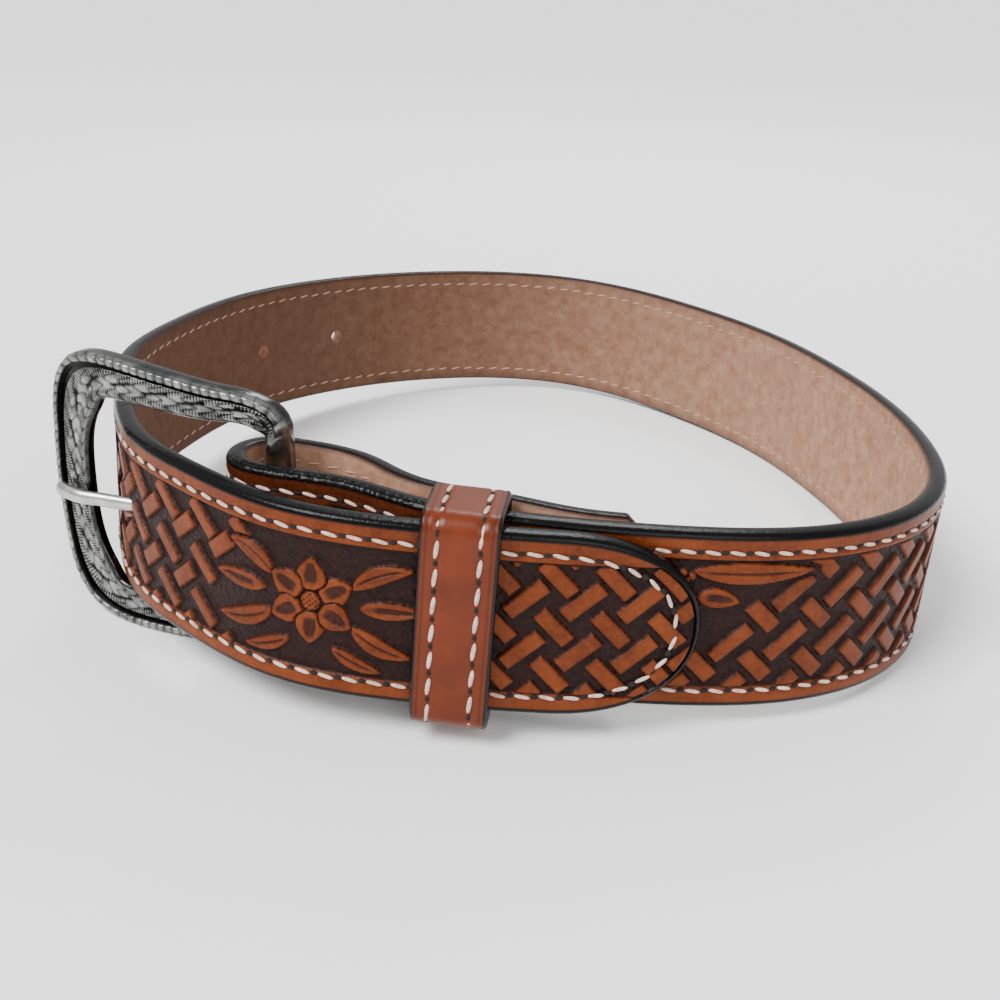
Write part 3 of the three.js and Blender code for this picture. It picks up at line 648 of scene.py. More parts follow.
def capsules(starts: np.ndarray, ends: np.ndarray, outs: np.ndarray, width: float, height: float,
             sides: int = 8) -> tuple[np.ndarray, list[list[int]]]:
    """Rounded threads between pairs of points.

    Args:
        starts: where each thread begins.
        ends: where it ends.
        outs: which way its surface looks.
        width: across the thread, along the surface.
        height: through the thread.
        sides: points round each ring.

    Returns:
        Vertices and faces of all the threads.
    """
    sections = np.array([-1.0, -0.86, -0.5, 0.0, 0.5, 0.86, 1.0])
    girth = np.array([0.12, 0.62, 0.95, 1.0, 0.95, 0.62, 0.12])
    middle, reach = (starts + ends) / 2, (ends - starts) / 2
    along = reach / np.linalg.norm(reach, axis=1, keepdims=True)
    side = np.cross(outs, along)
    side /= np.linalg.norm(side, axis=1, keepdims=True)
    turn = np.linspace(0, 2 * math.pi, sides, endpoint=False)
    points = (
        middle[:, None, None]
        + reach[:, None, None] * sections[None, :, None, None]
        + side[:, None, None] * (np.cos(turn)[None, None, :, None] * girth[None, :, None, None] * width / 2)
        + outs[:, None, None] * (np.sin(turn)[None, None, :, None] * girth[None, :, None, None] * height / 2)
    )
    one = grid_faces(len(sections), sides, False, True)
    one += [list(range(sides)), list(range((len(sections) - 1) * sides, len(sections) * sides))[::-1]]
    block = len(sections) * sides
    faces = [[v + k * block for v in face] for k in range(len(starts)) for face in one]
    return points.reshape(-1, 3), faces


@dataclass(frozen=True)
class Stretch:
    """One stretch of the strap's skin and how finely it is drawn."""

    name: str
    first: float
    last: float
    step: float
    face_points: int
    back_points: int = 14


@dataclass(frozen=True)
class Opening:
    """A round hole, or a slot with round ends, through the strap."""

    along: float
    radius: float
    half_length: float = 0.0
    above: float = 0.0

    def outline(self, count: int) -> tuple[np.ndarray, np.ndarray]:
        """Places along the strap and above its middle, round the opening."""
        turn = np.linspace(0, 2 * math.pi, count, endpoint=False)
        along = self.along + np.sign(np.cos(turn)) * self.half_length + self.radius * np.cos(turn)
        return along, self.above + self.radius * np.sin(turn)


class StrapSkin:
    """Builds the strap's visible leather and its stitches."""

    SIDE_POINTS = 5
    RIM_POINTS = 9
    WALL_POINTS = 64
    WALL_RINGS = 5
    TAB_CHAMFER = 1.8
    RIM = 1.35
    FLESH_SHADE_SPAN = (480.0, 210.0)  # from the tip, where painted shade on the flesh side begins and where it is full

    def __init__(self, line: StrapLine, face: TooledFace, openings: Sequence[Opening]) -> None:
        self.line, self.face, self.strap, self.openings = line, face, line.strap, openings

    def section(self, along: np.ndarray, face_points: int, back_points: int) -> tuple[np.ndarray, ...]:
        """Rings of the strap round its section.

        Args:
            along: the rings' lengths from the tab's end.
            face_points: how many points lie across the tooled face.
            back_points: how many points lie across the flesh side.

        Returns:
            For each point its length, height and place outwards, and its paint: dye and painted shade, edge,
            flesh, and painted shade on the flesh side.
        """
        strap = self.strap
        half = np.maximum(self.line.half_width(along), 0.3)[:, None]
        chamfer = np.clip((self.TAB_CHAMFER - along) / self.TAB_CHAMFER, 0, 1)[:, None]
        half = half - self.TAB_CHAMFER * chamfer
        rim = np.minimum(self.RIM, half * 0.5)
        near = rim * np.linspace(0, 1, self.RIM_POINTS + 1)[None, :-1] ** 1.4
        middle = (half - rim) * np.linspace(1, -1, face_points)[None, :]
        up = np.concatenate([half - near, middle, (near - half)[:, ::-1]], 1)
        s = np.broadcast_to(along[:, None], up.shape)
        depth, dye_and_shade, edge = self.face.carve(s, up)
        tab = (s < self.line.fold_end).astype(float)
        depth = depth * (1 - tab)
        edge = np.maximum(np.minimum(edge, half - np.abs(up)), 0)
        roll = np.clip(strap.face_round - edge, 0, strap.face_round)
        round_off = strap.face_round - np.sqrt(np.maximum(strap.face_round**2 - roll**2, 0))
        groove = 0.22 * smooth_step(0.75, 0.2, np.abs(edge - strap.stitch_inset))
        out = strap.face - round_off - depth - groove
        paint = np.zeros(up.shape + (4,))
        paint[..., 0] = dye_and_shade
        paint[..., 1] = smooth_step(strap.edge_paint + 0.12, strap.edge_paint - 0.12, edge)
        blocks = [(up, out, paint)]
        for sign in (-1, 1):
            drop = np.linspace(strap.face - strap.face_round, strap.back_round - strap.face, self.SIDE_POINTS)
            belly = 0.12 * np.sin(np.linspace(0, math.pi, self.SIDE_POINTS))
            up_side = sign * (half + belly[None, :] * np.minimum(half, 1))
            out_side = np.broadcast_to(drop[None, :], up_side.shape)
            side_paint = np.zeros(up_side.shape + (4,))
            side_paint[..., 1] = 1
            side = (up_side[:, 1:], out_side[:, 1:], side_paint[:, 1:])
            if sign < 0:
                blocks.append(side)
                back = np.linspace(-1, 1, back_points)[None, :] * (half - strap.back_round)
                back_out = np.full(back.shape, -strap.face)
                back_paint = np.zeros(back.shape + (4,))
                back_paint[..., 2] = 1
                back_paint[..., 1] = smooth_step(0.9, 0.3, half - np.abs(back))
                blocks.append((back, back_out, back_paint))
            else:
                blocks.append(tuple(part[:, ::-1] for part in side))
        up_all = np.concatenate([b[0] for b in blocks], 1)
        out_all = np.concatenate([b[1] for b in blocks], 1)
        paint_all = np.concatenate([b[2] for b in blocks], 1)
        all_along = np.broadcast_to(along[:, None], up_all.shape)
        # painted shade: the flesh side darkens towards the tip end
        paint_all[..., 3] = smooth_step(*self.FLESH_SHADE_SPAN, self.line.total - all_along)
        return all_along, up_all, out_all, paint_all

    def punch(self, opening: Opening, along: np.ndarray, up: np.ndarray, out: np.ndarray,
              quads: np.ndarray) -> tuple[np.ndarray, np.ndarray, np.ndarray]:
        """Cuts an opening through both faces of a stretch.

        Args:
            opening: what is cut.
            along: the points' lengths.
            up: their heights above the strap's middle.
            out: how far out they lie.
            quads: the faces between them.

        Returns:
            The points' new lengths and heights, and the faces that are left.
        """
        half = opening.half_length
        beyond = along - np.clip(along, opening.along - half, opening.along + half)
        reach = np.hypot(beyond, up - opening.above)
        inside = (reach < opening.radius) & (np.abs(out) > 0.5)
        quads = quads[~inside[quads].all(axis=1)]
        pull = np.where(inside, opening.radius / np.maximum(reach, 0.02), 1)
        return along + beyond * (pull - 1), opening.above + (up - opening.above) * pull, quads

    def stretch(self, size: Stretch) -> bpy.types.Object:
        """One stretch of the strap as a closed skin, with its openings lined."""
        tip_start = self.line.total - self.strap.tip_length
        count = max(int((min(size.last, tip_start) - size.first) / size.step), 2)
        along = np.linspace(size.first, min(size.last, tip_start), count)
        if size.last > tip_start:
            turn = np.linspace(0, math.pi / 2, int(self.strap.tip_length / size.step * 1.15))[1:]
            along = np.concatenate([along, tip_start + self.strap.tip_length * np.sin(turn)])
            along[-1] = self.line.total - 0.01
        s, up, out, paint = self.section(along, size.face_points, size.back_points)
        rows, columns = s.shape
        quads = np.array(grid_faces(rows, columns, False, True))
        s, up, out, paint = s.ravel(), up.ravel(), out.ravel(), paint.reshape(-1, 4)
        for opening in self.openings:
            if not size.first < opening.along < size.last:
                continue
            s, up, quads = self.punch(opening, s, up, out, quads)
            a, u = opening.outline(self.WALL_POINTS)
            depth, _, _ = self.face.carve(a, u)
            on_face = self.strap.face - depth * (a > self.line.fold_end)
            share = np.linspace(0, 1, self.WALL_RINGS)[:, None]
            wall = on_face[None] * (1 - share) - self.strap.face * share
            ring = np.array(grid_faces(self.WALL_RINGS, self.WALL_POINTS, False, True)) + len(s)
            s = np.concatenate([s, np.tile(a, self.WALL_RINGS)])
            up = np.concatenate([up, np.tile(u, self.WALL_RINGS)])
            out = np.concatenate([out, wall.ravel()])
            paint = np.concatenate([paint, np.tile([0.0, 0.0, 1.0, 0.0], (wall.size, 1))])
            quads = np.concatenate([quads, ring])
        caps = [list(range(columns)), list(range((rows - 1) * columns, rows * columns))[::-1]]
        used = np.unique(quads)
        number = np.zeros(len(s), int)
        number[used] = np.arange(len(used))
        faces = number[quads].tolist() + [[int(number[v]) for v in cap] for cap in caps]
        points = self.line.place(s[used], up[used], out[used])
        return mesh_object(size.name, points, faces, paint[used], flat=2)

    def stitch_path(self) -> np.ndarray:
        """The stitched line on the unrolled face: up one edge, round the tip, and back along the other."""
        strap, line = self.strap, self.line
        side = strap.half - strap.stitch_inset
        straight = np.arange(3.5, line.total - strap.tip_length, 0.5)
        turn = np.linspace(math.pi / 2, -math.pi / 2, 90)
        power = strap.tip_power
        round_tip = np.stack([
            line.total - strap.tip_length
            + (strap.tip_length - strap.stitch_nose_inset) * np.abs(np.cos(turn)) ** (2 / power),
            side * np.sign(np.sin(turn)) * np.abs(np.sin(turn)) ** (2 / power),
        ], -1)
        upper = np.stack([straight, np.full(straight.shape, side)], -1)
        lower = np.stack([straight[::-1], np.full(straight.shape, -side)], -1)
        return np.concatenate([upper, round_tip, lower])

    def stitches(self, pitch: float, length: float) -> list[bpy.types.Object]:
        """The threads of both faces and the dark slits between them, painted shade inside the stitch holes.
        """
        path = self.stitch_path()
        run = np.concatenate([[0], np.cumsum(np.linalg.norm(np.diff(path, axis=0), axis=1))])
        count = int(run[-1] / pitch)
        middles = (np.arange(count) + 0.5) * run[-1] / count

        def ends(extent: float, slant: float) -> tuple[np.ndarray, np.ndarray]:
            """Both ends of every stitch, turned a little across the line."""
            first = np.stack([np.interp(middles - extent / 2, run, path[:, k]) for k in range(2)], -1)
            last = np.stack([np.interp(middles + extent / 2, run, path[:, k]) for k in range(2)], -1)
            lean = left_of(last - first)
            lean = lean / np.linalg.norm(lean, axis=1, keepdims=True) * slant
            return first + lean, last - lean

        made = []
        rng = np.random.default_rng(7)
        for label, depth, sign, size in (("face_stitches", self.strap.face - 0.04, 1, (0.68, 0.6)),
                                         ("back_stitches", self.strap.face - 0.06, -1, (0.42, 0.36))):
            first, last = ends(length, 0.22)
            wobble = rng.normal(0, 0.05, (count, 2))
            a = self.line.place(first[:, 0], first[:, 1] + wobble[:, 0], sign * depth)
            b = self.line.place(last[:, 0], last[:, 1] + wobble[:, 1], sign * depth)
            plan = self.line.outward(np.interp(middles, run, path[:, 0])) * sign
            outs = np.concatenate([plan, np.zeros((count, 1))], 1)
            points, faces = capsules(a, b, outs, *size)
            made.append(mesh_object(label, points, faces))
        # painted shade: dark slits stand for the shade inside the stitch holes
        gaps = middles + run[-1] / count / 2
        centre = np.stack([np.interp(gaps, run, path[:, k]) for k in range(2)], -1)
        ahead = np.stack([np.interp(gaps + 0.62, run, path[:, k]) for k in range(2)], -1)
        behind = 2 * centre - ahead
        a = self.line.place(behind[:, 0], behind[:, 1], self.strap.face - 0.25)
        b = self.line.place(ahead[:, 0], ahead[:, 1], self.strap.face - 0.25)
        plan = self.line.outward(centre[:, 0])
        points, faces = capsules(a, b, np.concatenate([plan, np.zeros((count, 1))], 1), 1.0, 0.56, 6)
        made.append(mesh_object("stitch_holes", points, faces))
        return made


class Buckle:
    """Places and builds the frame and the tongue."""

    STATIONS = 1500
    ROPE_PITCH = 1.75
    LEAF_PITCH = 7.4
    HATCH_PITCH = 0.58
    EYE_STATIONS = 48
    EYE_SIDES = 16

    def __init__(self, line: StrapLine, size: Frame) -> None:
        self.line, self.size = line, size
        turn = math.radians(size.bearing)
        self.along = np.array([math.cos(turn), math.sin(turn)])
        self.front = np.array([-self.along[1], self.along[0]])
        self.eye = size.heel_bar / 2 + size.eye_play
        self.ring = self.eye + size.tongue_thickness * 0.8
        inner = line.loop.fold_radius - line.strap.face
        self.heel = line.fold_centre + line.fold_nose * (inner - self.ring - size.heel_slack)
        self.heel_out = size.rows[0][0] * size.length
        self.middle = line.strap.half + size.rise

    def place(self, out: np.ndarray, up: np.ndarray, depth: np.ndarray) -> np.ndarray:
        """A place on the frame: out from its heel edge, up from its middle, depth in front of it."""
        size = self.size
        share = (out - self.heel_out) / (size.length - self.heel_out)
        bow = size.bow * (1 - (2 * share - 1) ** 2)
        lean = math.radians(size.lean)
        forward = depth * math.cos(lean) + up * math.sin(lean)
        high = up * math.cos(lean) - depth * math.sin(lean)
        plan = (self.heel + self.along * (out - self.heel_out)[..., None]
                + self.front * (forward + bow)[..., None])
        return np.concatenate([plan, (self.middle + high)[..., None]], -1)

    def section(self, width: np.ndarray, detail: np.ndarray) -> tuple[np.ndarray, np.ndarray, np.ndarray]:
        """Rings round the bar: across, depth, and the place from rim to opening on the front, 0 to 1."""
        size = self.size
        half = width[:, None] / 2
        deep = size.thickness / 2
        face = deep - size.rail_height
        rail = size.rail_width
        knots = [
            (half, -deep * 0.5), (half, deep * 0.45), (half - rail * 0.35, deep), (half - rail, deep),
            (half - rail * 1.25, face * 0.85), (half * 0.25, face), (-half * 0.35, face * 0.9),
            (-half * 0.85, deep * 0.7), (-half, deep * 0.35), (-half * 0.85, -deep * 0.6),
            (-half * 0.5, -deep), (half * 0.6, -deep),
        ]
        across = np.concatenate([np.broadcast_to(k[0], half.shape) for k in knots], 1)
        depth = np.concatenate([np.full(half.shape, float(k[1])) for k in knots], 1)
        count = len(knots)
        bar = size.heel_bar / 2
        turn = 2 * math.pi * (np.arange(count) - 0.5) / count
        share = smooth_step(size.heel_bar * 1.02, size.heel_bar * 1.3, width)[:, None]
        across = bar * np.cos(turn) * (1 - share) + across * share
        depth = bar * np.sin(turn) * (1 - share) + depth * share
        low = np.floor(detail).astype(int) % count
        high = (low + 1) % count
        part = detail - np.floor(detail)
        return (across[:, low] * (1 - part) + across[:, high] * part,
                depth[:, low] * (1 - part) + depth[:, high] * part, share)

    def engraving(self, run: np.ndarray, detail: np.ndarray,
                  flat: np.ndarray) -> tuple[np.ndarray, np.ndarray, np.ndarray]:
        """The rope edge, the channel inside it, the leaf cuts and hatching of the face, and painted shade on
        the outer wall and the inner bevel.

        Args:
            run: places round the frame, in millimetres.
            detail: places round the bar's section, counted in the section's knots.
            flat: 1 where the bar is flat, falling to 0 where it is the round heel bar.

        Returns:
            How dark the metal is, with patina in its cuts and painted shade on its outer wall and inner
            bevel, where it is worked and so duller, and how deep the cuts go in millimetres.
        """
        rope = smooth_step(0.9, 1.4, detail) * smooth_step(4.0, 3.2, detail)
        twist = np.abs(np.sin(math.pi * (run / self.ROPE_PITCH + (detail - 2) * 0.16)))
        cut = rope * (1 - twist**0.55) * flat
        channel = smooth_step(3.1, 3.5, detail) * smooth_step(4.72, 4.5, detail)
        field = smooth_step(4.55, 4.8, detail) * smooth_step(7.1, 6.8, detail)
        place = detail - 4.5
        wave = 0.5 + 0.5 * np.sin(run * 2 * math.pi / self.LEAF_PITCH)
        swing = 0.35 * wave
        hatch_zone = smooth_step(0.05, 0.15, place) * smooth_step(0.75 + swing, 0.62 + swing, place)
        low_zone = smooth_step(1.55 + 0.3 * wave, 1.68 + 0.3 * wave, place) * smooth_step(2.3, 2.15, place)
        hatch = (0.5 + 0.5 * np.cos(run * 2 * math.pi / self.HATCH_PITCH + place * 2.0)) ** 1.5
        leaf_phase = (run / self.LEAF_PITCH) % 1
        slit = smooth_step(0.16, 0.02, np.abs(place - 1.15 - 0.75 * (leaf_phase - 0.5)) * 0.7) \
            * smooth_step(0.1, 0.25, leaf_phase) * smooth_step(0.95, 0.7, leaf_phase)
        scroll = smooth_step(0.55, 0.85, np.sin(run * 1.9 + np.sin(place * 5.2) * 2.4))
        engraved = np.clip((hatch_zone + low_zone) * hatch * 0.9 + slit + 0.6 * scroll, 0, 1) * field * flat
        # wall darkens the outer side wall: a painted reflection of dark surroundings
        wall = smooth_step(1.15, 0.85, detail) + smooth_step(11.0, 11.4, detail)
        # bevel darkens the inner bevel of the opening: painted shade
        bevel = smooth_step(6.7, 7.1, detail) * smooth_step(9.4, 8.8, detail)
        dark = np.clip(cut * 0.9 + channel * flat + engraved + (0.8 * wall + 0.85 * bevel) * flat, 0, 1)
        sink = 0.26 * cut + 0.3 * channel * flat + 0.2 * engraved
        return dark, field + rope, sink

    def frame(self) -> bpy.types.Object:
        """The engraved frame with its rope edge."""
        size = self.size
        upper = [(o * size.length, u * size.height / 2, w * size.far_bar) for o, u, w in size.rows]
        loop = upper + [(o, -u, w) for o, u, w in upper[1:-1]][::-1]
        wrap = 3
        rows = np.array(loop[-wrap:] + loop + loop[:wrap + 1])
        knots = np.concatenate([[0], np.cumsum(np.linalg.norm(np.diff(rows[:, :2], axis=0), axis=1))])
        curves = [spline(knots, rows[:, k]) for k in range(3)]
        start = knots[wrap]
        around = knots[wrap + len(loop)] - start
        at = start + around * np.arange(self.STATIONS) / self.STATIONS
        out, up, width = (curve(at) for curve in curves)
        tangent = np.stack([curves[k](at + 0.05) - curves[k](at - 0.05) for k in range(2)], -1)
        rim = left_of(tangent / np.linalg.norm(tangent, axis=1, keepdims=True))
        detail = np.concatenate([
            np.linspace(0, 1, 4)[:-1], np.linspace(1, 4, 13)[:-1], np.linspace(4, 7, 31)[:-1],
            np.linspace(7, 12, 12)[:-1],
        ])
        across, depth, flat = self.section(width, detail)
        dark, worked, sink = self.engraving((at - start)[:, None], detail, flat)
        depth = depth - sink * (depth > 0)
        points = self.place(out[:, None] + rim[:, :1] * across, up[:, None] + rim[:, 1:] * across, depth)
        paint = np.zeros(points.shape[:2] + (4,))
        paint[..., 0] = dark
        paint[..., 1] = np.broadcast_to(worked, dark.shape)
        return mesh_object("engraved_frame", points,
                           [f[::-1] for f in grid_faces(self.STATIONS, len(detail), True, True)], paint)

    def tongue(self) -> bpy.types.Object:
        """The tongue: an eye round the heel bar and a shank that lies on the far bar."""
        size = self.size
        far = size.rows[-1][0] * size.length
        inner = far - size.far_bar / 2
        rest = size.thickness / 2 + size.fit + size.tongue_thickness / 2
        end = far + size.far_bar / 2 - size.tongue_overhang
        start = self.heel_out + (self.eye + self.ring) / 2
        rows = np.array([
            (start, 0.0, 1.0), (start + 9, -0.6, 1.0), (inner - size.tongue_bend * 4.5, -0.4, 1.0),
            (inner - size.tongue_bend, rest * 0.55, 1.0), (inner + size.tongue_bend * 0.4, rest, 1.04),
            (far + size.far_bar * 0.2, rest, 1.1), (end - 0.6, rest, 0.85), (end - 0.15, rest, 0.55),
            (end, rest, 0.2),
        ])
        knots = rows[:, 0]
        out = np.concatenate([np.linspace(knots[0], knots[-3], 46), np.linspace(knots[-3], knots[-1], 9)[1:]])
        depth, girth = np.interp(out, knots, rows[:, 1]), np.interp(out, knots, rows[:, 2])
        kernel = np.ones(5) / 5
        depth = np.convolve(np.pad(depth, 2, mode="edge"), kernel, "valid")
        turn = np.linspace(0, 2 * math.pi, 20, endpoint=False)
        up = size.tongue_rise - size.rise + np.sin(turn)[None] * (girth[:, None] * size.tongue_width / 2)
        deep = depth[:, None] + np.cos(turn)[None] * (girth[:, None] * size.tongue_thickness / 2)
        shank = self.place(np.broadcast_to(out[:, None], up.shape), up, deep)
        count = len(turn)
        faces = grid_faces(len(out), count, False, True)
        faces += [list(range(count)), list(range((len(out) - 1) * count, len(out) * count))[::-1]]
        around = np.linspace(0, 2 * math.pi, self.EYE_STATIONS, endpoint=False)
        tube = np.linspace(0, 2 * math.pi, self.EYE_SIDES, endpoint=False)
        centre = self.place(np.array(self.heel_out), np.array(size.tongue_rise - size.rise), np.array(0.0))
        mid, thick = (self.eye + self.ring) / 2, (self.ring - self.eye) / 2
        reach = mid + thick * np.cos(tube)[None]
        eye = np.stack([
            centre[0] + reach * np.cos(around)[:, None], centre[1] + reach * np.sin(around)[:, None],
            np.broadcast_to(centre[2] + size.tongue_width / 2 * np.sin(tube)[None], (len(around), len(tube))),
        ], -1)
        points = np.concatenate([shank.reshape(-1, 3), eye.reshape(-1, 3)])
        offset = shank.shape[0] * shank.shape[1]
        faces += [[v + offset for v in face] for face in grid_faces(len(around), len(tube), True, True)]
        return mesh_object("bright_tongue", points, faces)


class KeeperBand:
    """Builds the keeper: a leather strip closed round the tip end and the strap."""

    FACE_POINTS = 33
    BACK_POINTS = 5
    RIM = 0.55
    CREASE_INSET = 1.15
    STITCH_PITCH = 4.7
    STEPS = 40  # places round the band for each stitch
    STITCH_REACH = 13  # of those places, from a stitch's middle to its end
    SLIT_REACH = 4

    def __init__(self, line: StrapLine, size: Keeper) -> None:
        self.line, self.size = line, size
        seat = line.run_point(np.array(size.bearing))
        tangent = line.run_tangent(np.array(size.bearing))
        facing = math.atan2(tangent[1], tangent[0]) + math.radians(size.turn)
        self.axis = np.array([math.cos(facing), math.sin(facing)])
        self.inward = np.array([-self.axis[1], self.axis[0]])
        self.seat = seat
        on_run = line.lengths > line.fold_end
        depths = []
        for side in (-0.5, 0.5):
            faces = line.points + line.outward(line.lengths) * side * line.strap.thickness - seat
            near = (on_run & (np.abs(faces @ self.axis) < size.width / 2)
                    & (np.linalg.norm(faces, axis=1) < line.loop.radius / 2))
            depths.append(faces[near] @ self.inward)
        every = np.concatenate(depths)
        self.low, self.high = every.min() - size.fit, every.max() + size.fit
        self.rise = line.strap.half + size.slack

    def loop(self, count: int) -> tuple[np.ndarray, np.ndarray, float]:
        """The band's middle round its rectangle: places and outward directions in depth and height."""
        half = self.size.thickness / 2
        corner = self.size.corner - half
        low, high, rise = self.low - half, self.high + half, self.rise + half
        pieces = []
        corners = ((high, rise, 0), (low, rise, 1), (low, -rise, 2), (high, -rise, 3))
        for d, h, quarter in corners:
            cd = high - corner if d == high else low + corner
            ch = h - math.copysign(corner, h)
            for turn in np.linspace(quarter, quarter + 1, 10) * math.pi / 2:
                pieces.append((cd + corner * math.cos(turn), ch + corner * math.sin(turn)))
        ring = np.array(pieces + pieces[:1])
        run = np.concatenate([[0], np.cumsum(np.linalg.norm(np.diff(ring, axis=0), axis=1))])
        at = np.linspace(0, run[-1], count, endpoint=False)
        place = np.stack([np.interp(at, run, ring[:, k]) for k in range(2)], -1)
        tangent = np.roll(place, -1, axis=0) - np.roll(place, 1, axis=0)
        tangent /= np.linalg.norm(tangent, axis=1, keepdims=True)
        return place, -left_of(tangent), float(run[-1])

    def world(self, across: np.ndarray, depth: np.ndarray, height: np.ndarray) -> np.ndarray:
        """Places across the band's width, in depth and in height, as points of the flat lay-out."""
        plan = self.seat + self.axis * across[..., None] + self.inward * depth[..., None]
        return np.concatenate([plan, (self.line.strap.half + height)[..., None]], -1)

    def build(self) -> list[bpy.types.Object]:
        """The band and its two rows of stitches."""
        size = self.size
        place, out, around = self.loop(420)
        half = size.width / 2
        rim = self.RIM
        face = np.linspace(-1, 1, self.FACE_POINTS) * half
        edge = half - np.abs(face)
        drop = rim - np.sqrt(np.maximum(rim**2 - np.clip(rim - edge, 0, rim) ** 2, 0))
        groove = 0.18 * smooth_step(0.7, 0.15, np.abs(edge - size.stitch_inset))
        crease = smooth_step(0.3, 0.05, np.abs(edge - self.CREASE_INSET))
        outer = size.thickness / 2 - drop - groove - 0.1 * crease
        back = np.linspace(1, -1, self.BACK_POINTS) * (half - 0.3)
        across = np.concatenate([face, [half], back, [-half]])
        depth = np.concatenate([outer, [0.0], np.full(self.BACK_POINTS, -size.thickness / 2), [0.0]])
        paint_row = np.zeros((len(across), 4))
        front = slice(0, self.FACE_POINTS)
        flesh = slice(self.FACE_POINTS + 1, self.FACE_POINTS + 1 + self.BACK_POINTS)
        paint_row[front, 1] = smooth_step(0.7, 0.45, edge)
        paint_row[[front.stop, flesh.start, flesh.stop - 1, flesh.stop], 1] = 1
        paint_row[flesh, 2] = 1
        paint_row[front, 3] = crease
        path = place[:, None] + out[:, None] * depth[None, :, None]
        points = self.world(np.broadcast_to(across[None], path.shape[:2]), path[..., 0], path[..., 1])
        paint = np.broadcast_to(paint_row[None], points.shape[:2] + (4,))
        band = mesh_object("stitched_keeper", points,
                           grid_faces(len(place), len(across), True, True), paint)
        count = int(around / self.STITCH_PITCH)
        fine, fine_out, _ = self.loop(count * self.STEPS)

        def pair(middle: int, reach: int, across_at: np.ndarray, outwards: float) -> np.ndarray:
            """Two places of the band, so many steps before and after one."""
            chosen = [(middle - reach) % len(fine), (middle + reach) % len(fine)]
            places = fine[chosen] + fine_out[chosen] * outwards
            return self.world(across_at, places[:, 0], places[:, 1])

        threads, slits, outs = [], [], []
        lean = np.array([0.16, -0.16])
        for side in (-1, 1):
            row = side * (half - size.stitch_inset)
            for k in range(count):
                middle = (k * self.STEPS + (0 if side < 0 else self.STEPS // 2)) % len(fine)
                gap = (middle + self.STEPS // 2) % len(fine)
                threads.append(pair(middle, self.STITCH_REACH, row + lean, size.thickness / 2))
                slits.append(pair(gap, self.SLIT_REACH, np.full(2, row), size.thickness / 2 - 0.2))
                outs.append([*(self.inward * fine_out[middle, 0]), fine_out[middle, 1]])
        made = [band]
        # keeper_stitch_holes are dark slits: painted shade inside the stitch holes
        for name, ends, girth in (("keeper_stitches", threads, (0.76, 0.62)),
                                  ("keeper_stitch_holes", slits, (0.9, 0.6, 6))):
            first, last = np.array(ends).swapaxes(0, 1)
            made.append(mesh_object(name, *capsules(first, last, np.array(outs), *girth)))
        return made


# Materials


def srgb(code: str) -> tuple[float, float, float, float]:
    """A colour written as six hexadecimal digits, in linear light."""
    def linear(share: float) -> float:
        return share / 12.92 if share <= 0.04045 else ((share + 0.055) / 1.055) ** 2.4

    red, green, blue = (linear(int(code[i:i + 2], 16) / 255) for i in (0, 2, 4))
    return red, green, blue, 1.0


class Tone(Enum):
    """The colours of the belt, as sRGB."""

    RAISED = "6b3112"
    RAISED_LIGHT = "7e3f1b"
    RAISED_DARK = "4f1f07"
    # the ground's dark dye; also the colour of the painted shade near the fold and on the bars' edges
    GROUND = "180907"
    GROUND_LIGHT = "331815"
    EDGE = "040405"
    FLESH = "8d6751"
    FLESH_LIGHT = "ac8772"
    # painted shade on the flesh side
    FLESH_SHADED = "3a2013"
    KEEPER = "541e06"
    KEEPER_LIGHT = "672809"
    KEEPER_DARK = "240a02"
    THREAD = "d8c3b8"
    THREAD_SHADE = "a9877a"
    BACK_THREAD = "a98670"
    # painted shade inside the stitch holes
    SLIT = "120605"
    SILVER = "a9aaa6"
    SILVER_SHADE = "5c5e5d"
    # patina in the buckle's cuts; also the painted shade on its outer wall and inner bevel
    TARNISH_AND_SHADE = "0a0a0c"
    NICKEL = "d3d0c8"
    FLOOR = "fafafa"

    def linear(self) -> tuple[float, float, float, float]:
        """The colour in linear light."""
        return srgb(self.value)


